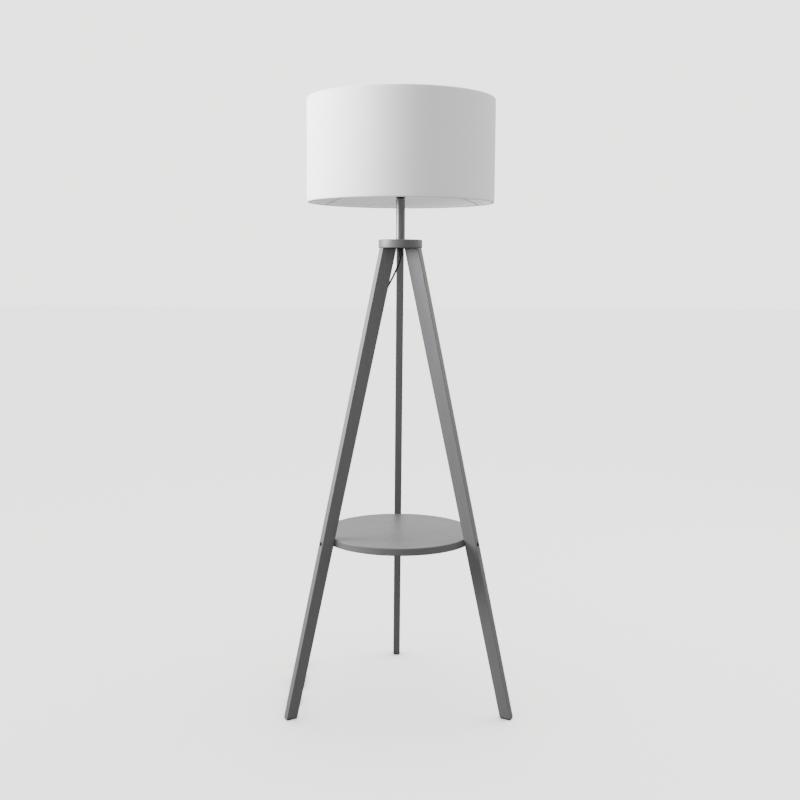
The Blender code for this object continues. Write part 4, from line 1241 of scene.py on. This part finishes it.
# ------------------------------------------------------------ shade
def hem(wire_z, up):
    """The cloth's path over a wire ring, from its tucked end inside to the outer wall."""
    roll = WALL_RADIUS - WIRE_CIRCLE
    points = []
    for step in range(15):
        a = math.radians(238 - step * 17)
        points.append((WIRE_CIRCLE + roll * math.cos(a), wire_z + up * roll * math.sin(a)))
    return points


def cloth_map(bm, along):
    """The cloth's own flat measure: round the drum, and along its height and hems."""
    layer = bm.loops.layers.uv.new("cloth")
    for face in bm.faces:
        middle = face.calc_center_median()
        about = math.atan2(middle.y - AXIS_Y, middle.x)
        for loop in face.loops:
            a = math.atan2(loop.vert.co.y - AXIS_Y, loop.vert.co.x)
            a = about + (a - about + math.pi) % (2 * math.pi) - math.pi
            loop[layer].uv = (a * WALL_RADIUS, loop.vert[along])


def cover_profile(top_wire, low_wire):
    """From the tucked end at the top, down the wall, to the tucked end at the bottom."""
    rows = 24
    wall = [(WALL_RADIUS, top_wire + (low_wire - top_wire) * k / rows) for k in range(1, rows)]
    return hem(top_wire, 1) + wall + list(reversed(hem(low_wire, -1)))


def on_the_wall(face, top_wire, low_wire):
    at = face.calc_center_median()
    out = (at - Vector((0, AXIS_Y, at.z))).length
    return low_wire < at.z < top_wire and out > WALL_RADIUS - 0.0002


def bearing(face):
    at = face.calc_center_median()
    return math.degrees(math.atan2(at.y - AXIS_Y, at.x))


def raise_the_lap(bm, wall_faces):
    """The cloth's glued lap, a strip at the back that stands off the wall by its own thickness."""
    lap = [f for f in wall_faces if 86.9 < bearing(f) < 90.1]
    for corner in drawn_out(bm, lap):
        out = Vector((corner.co.x, corner.co.y - AXIS_Y, 0)).normalized()
        corner.co += out * 0.00045


def make_shade_cover():
    """Cloth round the drum, rolled over both wires, with its glued lap at the back."""
    inset = WIRE_RADIUS + GAP
    top_wire, low_wire = SHADE_TOP_Z - inset, SHADE_LOW_Z + inset
    bm = bmesh.new()
    along = bm.verts.layers.float.new("along")
    gone = 0.0
    points = []
    for r, z in cover_profile(top_wire, low_wire):
        point = bm.verts.new((r, AXIS_Y, z))
        if points:
            gone += (point.co - points[-1].co).length
            bm.edges.new((points[-1], point))
        point[along] = gone
        points.append(point)
    spun(bm, 240)
    cloth_map(bm, along)
    wall_faces = [f for f in bm.faces if on_the_wall(f, top_wire, low_wire)]
    outward = wall_faces[0].calc_center_median() - middle_of("shade_drum")
    if wall_faces[0].normal.dot(outward) < 0:
        bmesh.ops.reverse_faces(bm, faces=bm.faces[:])
    raise_the_lap(bm, wall_faces)
    cover = lay_down(
        "shade_cover", bm, CLOTH, "shade", ["shade_drum"], sharp=50
    )
    thick = cover.modifiers.new("cloth_thickness", "SOLIDIFY")
    thick.thickness = 0.0005
    thick.offset = 0.0


def make_shade_lining():
    """A thin stiff sheet inside the cloth, which stops short of the hems."""
    inner, outer = 0.22358, 0.22392
    from_end = 0.0046
    low, high = SHADE_LOW_Z + from_end, SHADE_TOP_Z - from_end
    rows = [low + (high - low) * k / 12 for k in range(13)]
    profile = [(outer, z) for z in rows] + [(inner, z) for z in reversed(rows)]
    bm = turned(profile, 240)
    lay_down("shade_stiffener", bm, LINING, "shade", sharp=50)


def make_wire_ring(which):
    node = f"shade_{which}_wire"
    z = middle_of(node).z
    ring = [
        (WIRE_CIRCLE + WIRE_RADIUS * math.cos(a), z + WIRE_RADIUS * math.sin(a))
        for a in [math.radians(30 * k) for k in range(12)]
    ]
    bm = turned(ring, 180)
    lay_down(f"{which}_wire_ring", bm, WHITE_LACQUER, "shade", [node], 60)


def make_spider():
    """The plate that sits on the lampholder, and its three arms, welded on at both ends."""
    low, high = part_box("spider_ring")
    wide = radius_of("spider_ring")
    ring = [(SKIRT_HOLE, low.z), (SKIRT_HOLE, high.z), (wide, high.z), (wide, low.z)]
    bm = soften(turned(ring, 96), 0.0004, 3, 50)
    lay_down("spider_plate", bm, WHITE_LACQUER, "shade", ["spider_ring"])
    start = Vector((wide + 0.0003, 0, (low.z + high.z) / 2))
    end = Vector((WIRE_CIRCLE - WIRE_RADIUS - 0.0006, 0, middle_of("shade_bottom_wire").z))
    run = end - start
    lies = Matrix.Translation(start) @ run.to_track_quat("Z", "Y").to_matrix().to_4x4()
    for number in (1, 2, 3):
        place = towards(SPIDER_FIRST + 120 * (number - 1))
        bm = move(rod(0.002, -0.0012, run.length + 0.0006, 24), place @ lies)
        for at, size in ((start, 0.0026), (end, 0.0024)):
            weld = bmesh.new()
            bmesh.ops.create_uvsphere(weld, u_segments=20, v_segments=12, radius=size)
            add(bm, move(weld, place @ Matrix.Translation(at)))
        name, node = f"spider_rod_{number}", f"spider_arm_{number}"
        lay_down(name, bm, WHITE_LACQUER, "shade", [node])


make_shade_cover()
make_shade_lining()
make_wire_ring("top")
make_wire_ring("bottom")
make_spider()


# ------------------------------------------------------------ CAD pieces kept as they are
KEPT = {
    "leg_insert_left": BRASS,
    "leg_insert_right": BRASS,
    "leg_insert_back": BRASS,
    "holder_insert": PORCELAIN,
    "holder_contact": BRASS,
    "inner_lead": JACKET,
}
for node, material in KEPT.items():
    cad_mesh = NODES[node].data
    cad_mesh.materials.clear()
    cad_mesh.materials.append(material)


# ------------------------------------------------------------ studio
FLOOR_HALF = 30
KEY_WATTS = 270
KEY_SPREAD = math.radians(140)  # its light falls off towards the feet
FILL_WATTS = 12
TOP_WATTS = 4
WALL_IN_FRONT = 1.15
WALL_BEHIND = 2.0
FLOOR_GREY = 0.42
FLOOR_SEEN = 1.75
WALL_SEEN = 2.9
COOL = (0.95, 0.97, 1.0)
WARM = (1.0, 0.985, 0.965)


def only_seen(tree, seen, met, shader=True):
    """Gives the camera one look or strength, and all other light the other."""
    ray = tree.nodes.new("ShaderNodeLightPath")
    mix = tree.nodes.new("ShaderNodeMixShader" if shader else "ShaderNodeMix")
    tree.links.new(ray.outputs["Is Camera Ray"], mix.inputs[0])
    first, second = (1, 2) if shader else (2, 3)
    tree.links.new(met, mix.inputs[first])
    tree.links.new(seen, mix.inputs[second])
    return mix.outputs[0]


def make_floor():
    """Pale, and as bright to the camera as the walls, though it throws less light on the lamp."""
    bm = bmesh.new()
    bmesh.ops.create_grid(bm, x_segments=1, y_segments=1, size=FLOOR_HALF)
    made = bpy.data.materials.new("pale_floor")
    made.use_nodes = True
    tree = made.node_tree
    tree.nodes.clear()
    looks = []
    for grey in (FLOOR_SEEN, FLOOR_GREY):
        matt = tree.nodes.new("ShaderNodeBsdfDiffuse")
        matt.inputs["Color"].default_value = (grey, grey, grey, 1.0)
        looks.append(matt.outputs["BSDF"])
    out = tree.nodes.new("ShaderNodeOutputMaterial")
    tree.links.new(only_seen(tree, *looks), out.inputs["Surface"])
    data = bpy.data.meshes.new("floor")
    bm.to_mesh(data)
    bm.free()
    data.materials.append(made)
    floor = new_object("floor", data)
    return floor


def hang_light(name, at, aim, size, watts, colour=(1, 1, 1)):
    """A softbox at one point that faces another."""
    lamp = bpy.data.lights.new(name, "AREA")
    lamp.shape = "RECTANGLE"
    lamp.size, lamp.size_y = size
    lamp.energy = watts
    lamp.color = colour
    made = new_object(name, lamp)
    made.location = at
    made.rotation_euler = (Vector(aim) - Vector(at)).to_track_quat("-Z", "Y").to_euler()
    return made


def keep_off(lamp, piece):
    """Keeps one light off one piece, as a studio's flags do."""
    kept = bpy.data.collections.new("kept_off")
    kept.objects.link(piece)
    kept.collection_objects[0].light_linking.link_state = "EXCLUDE"
    lamp.light_linking.receiver_collection = kept


def studio_walls():
    """Soft light from all round: brightest from behind the lamp, dim from in front of it."""
    world = bpy.data.worlds.new("studio_walls")
    world.use_nodes = True
    tree = world.node_tree
    walls = tree.nodes["Background"]
    walls.inputs["Color"].default_value = (*WARM, 1.0)
    facing = tree.nodes.new("ShaderNodeTexCoord")
    split = tree.nodes.new("ShaderNodeSeparateXYZ")
    tree.links.new(facing.outputs["Generated"], split.inputs["Vector"])
    ramp = tree.nodes.new("ShaderNodeMapRange")
    ramp.interpolation_type = "SMOOTHSTEP"
    ramp.inputs["From Min"].default_value = -0.7
    ramp.inputs["From Max"].default_value = 0.9
    ramp.inputs["To Min"].default_value = WALL_IN_FRONT
    ramp.inputs["To Max"].default_value = WALL_BEHIND
    tree.links.new(split.outputs["Y"], ramp.inputs["Value"])
    plain = tree.nodes.new("ShaderNodeValue")
    plain.outputs[0].default_value = WALL_SEEN
    strength = only_seen(tree, plain.outputs[0], ramp.outputs["Result"], shader=False)
    tree.links.new(strength, walls.inputs["Strength"])
    bpy.context.scene.world = world


def light_the_studio(floor):
    key = hang_light(
        "softbox_left",
        at=(-2.5, -0.25, 1.95),
        aim=(0, 0, 2.5),
        size=(1.6, 1.8),
        watts=KEY_WATTS,
        colour=COOL,
    )
    key.data.spread = KEY_SPREAD
    keep_off(key, floor)
    hang_light(
        "softbox_right", at=(2.4, 0.9, 2.1), aim=(0, 0, 1.2), size=(1.4, 1.6), watts=FILL_WATTS
    )
    hang_light(
        "softbox_above", at=(0.0, 0.5, 3.3), aim=(0, 0, 0.4), size=(2.4, 2.4), watts=TOP_WATTS
    )
    studio_walls()


light_the_studio(make_floor())
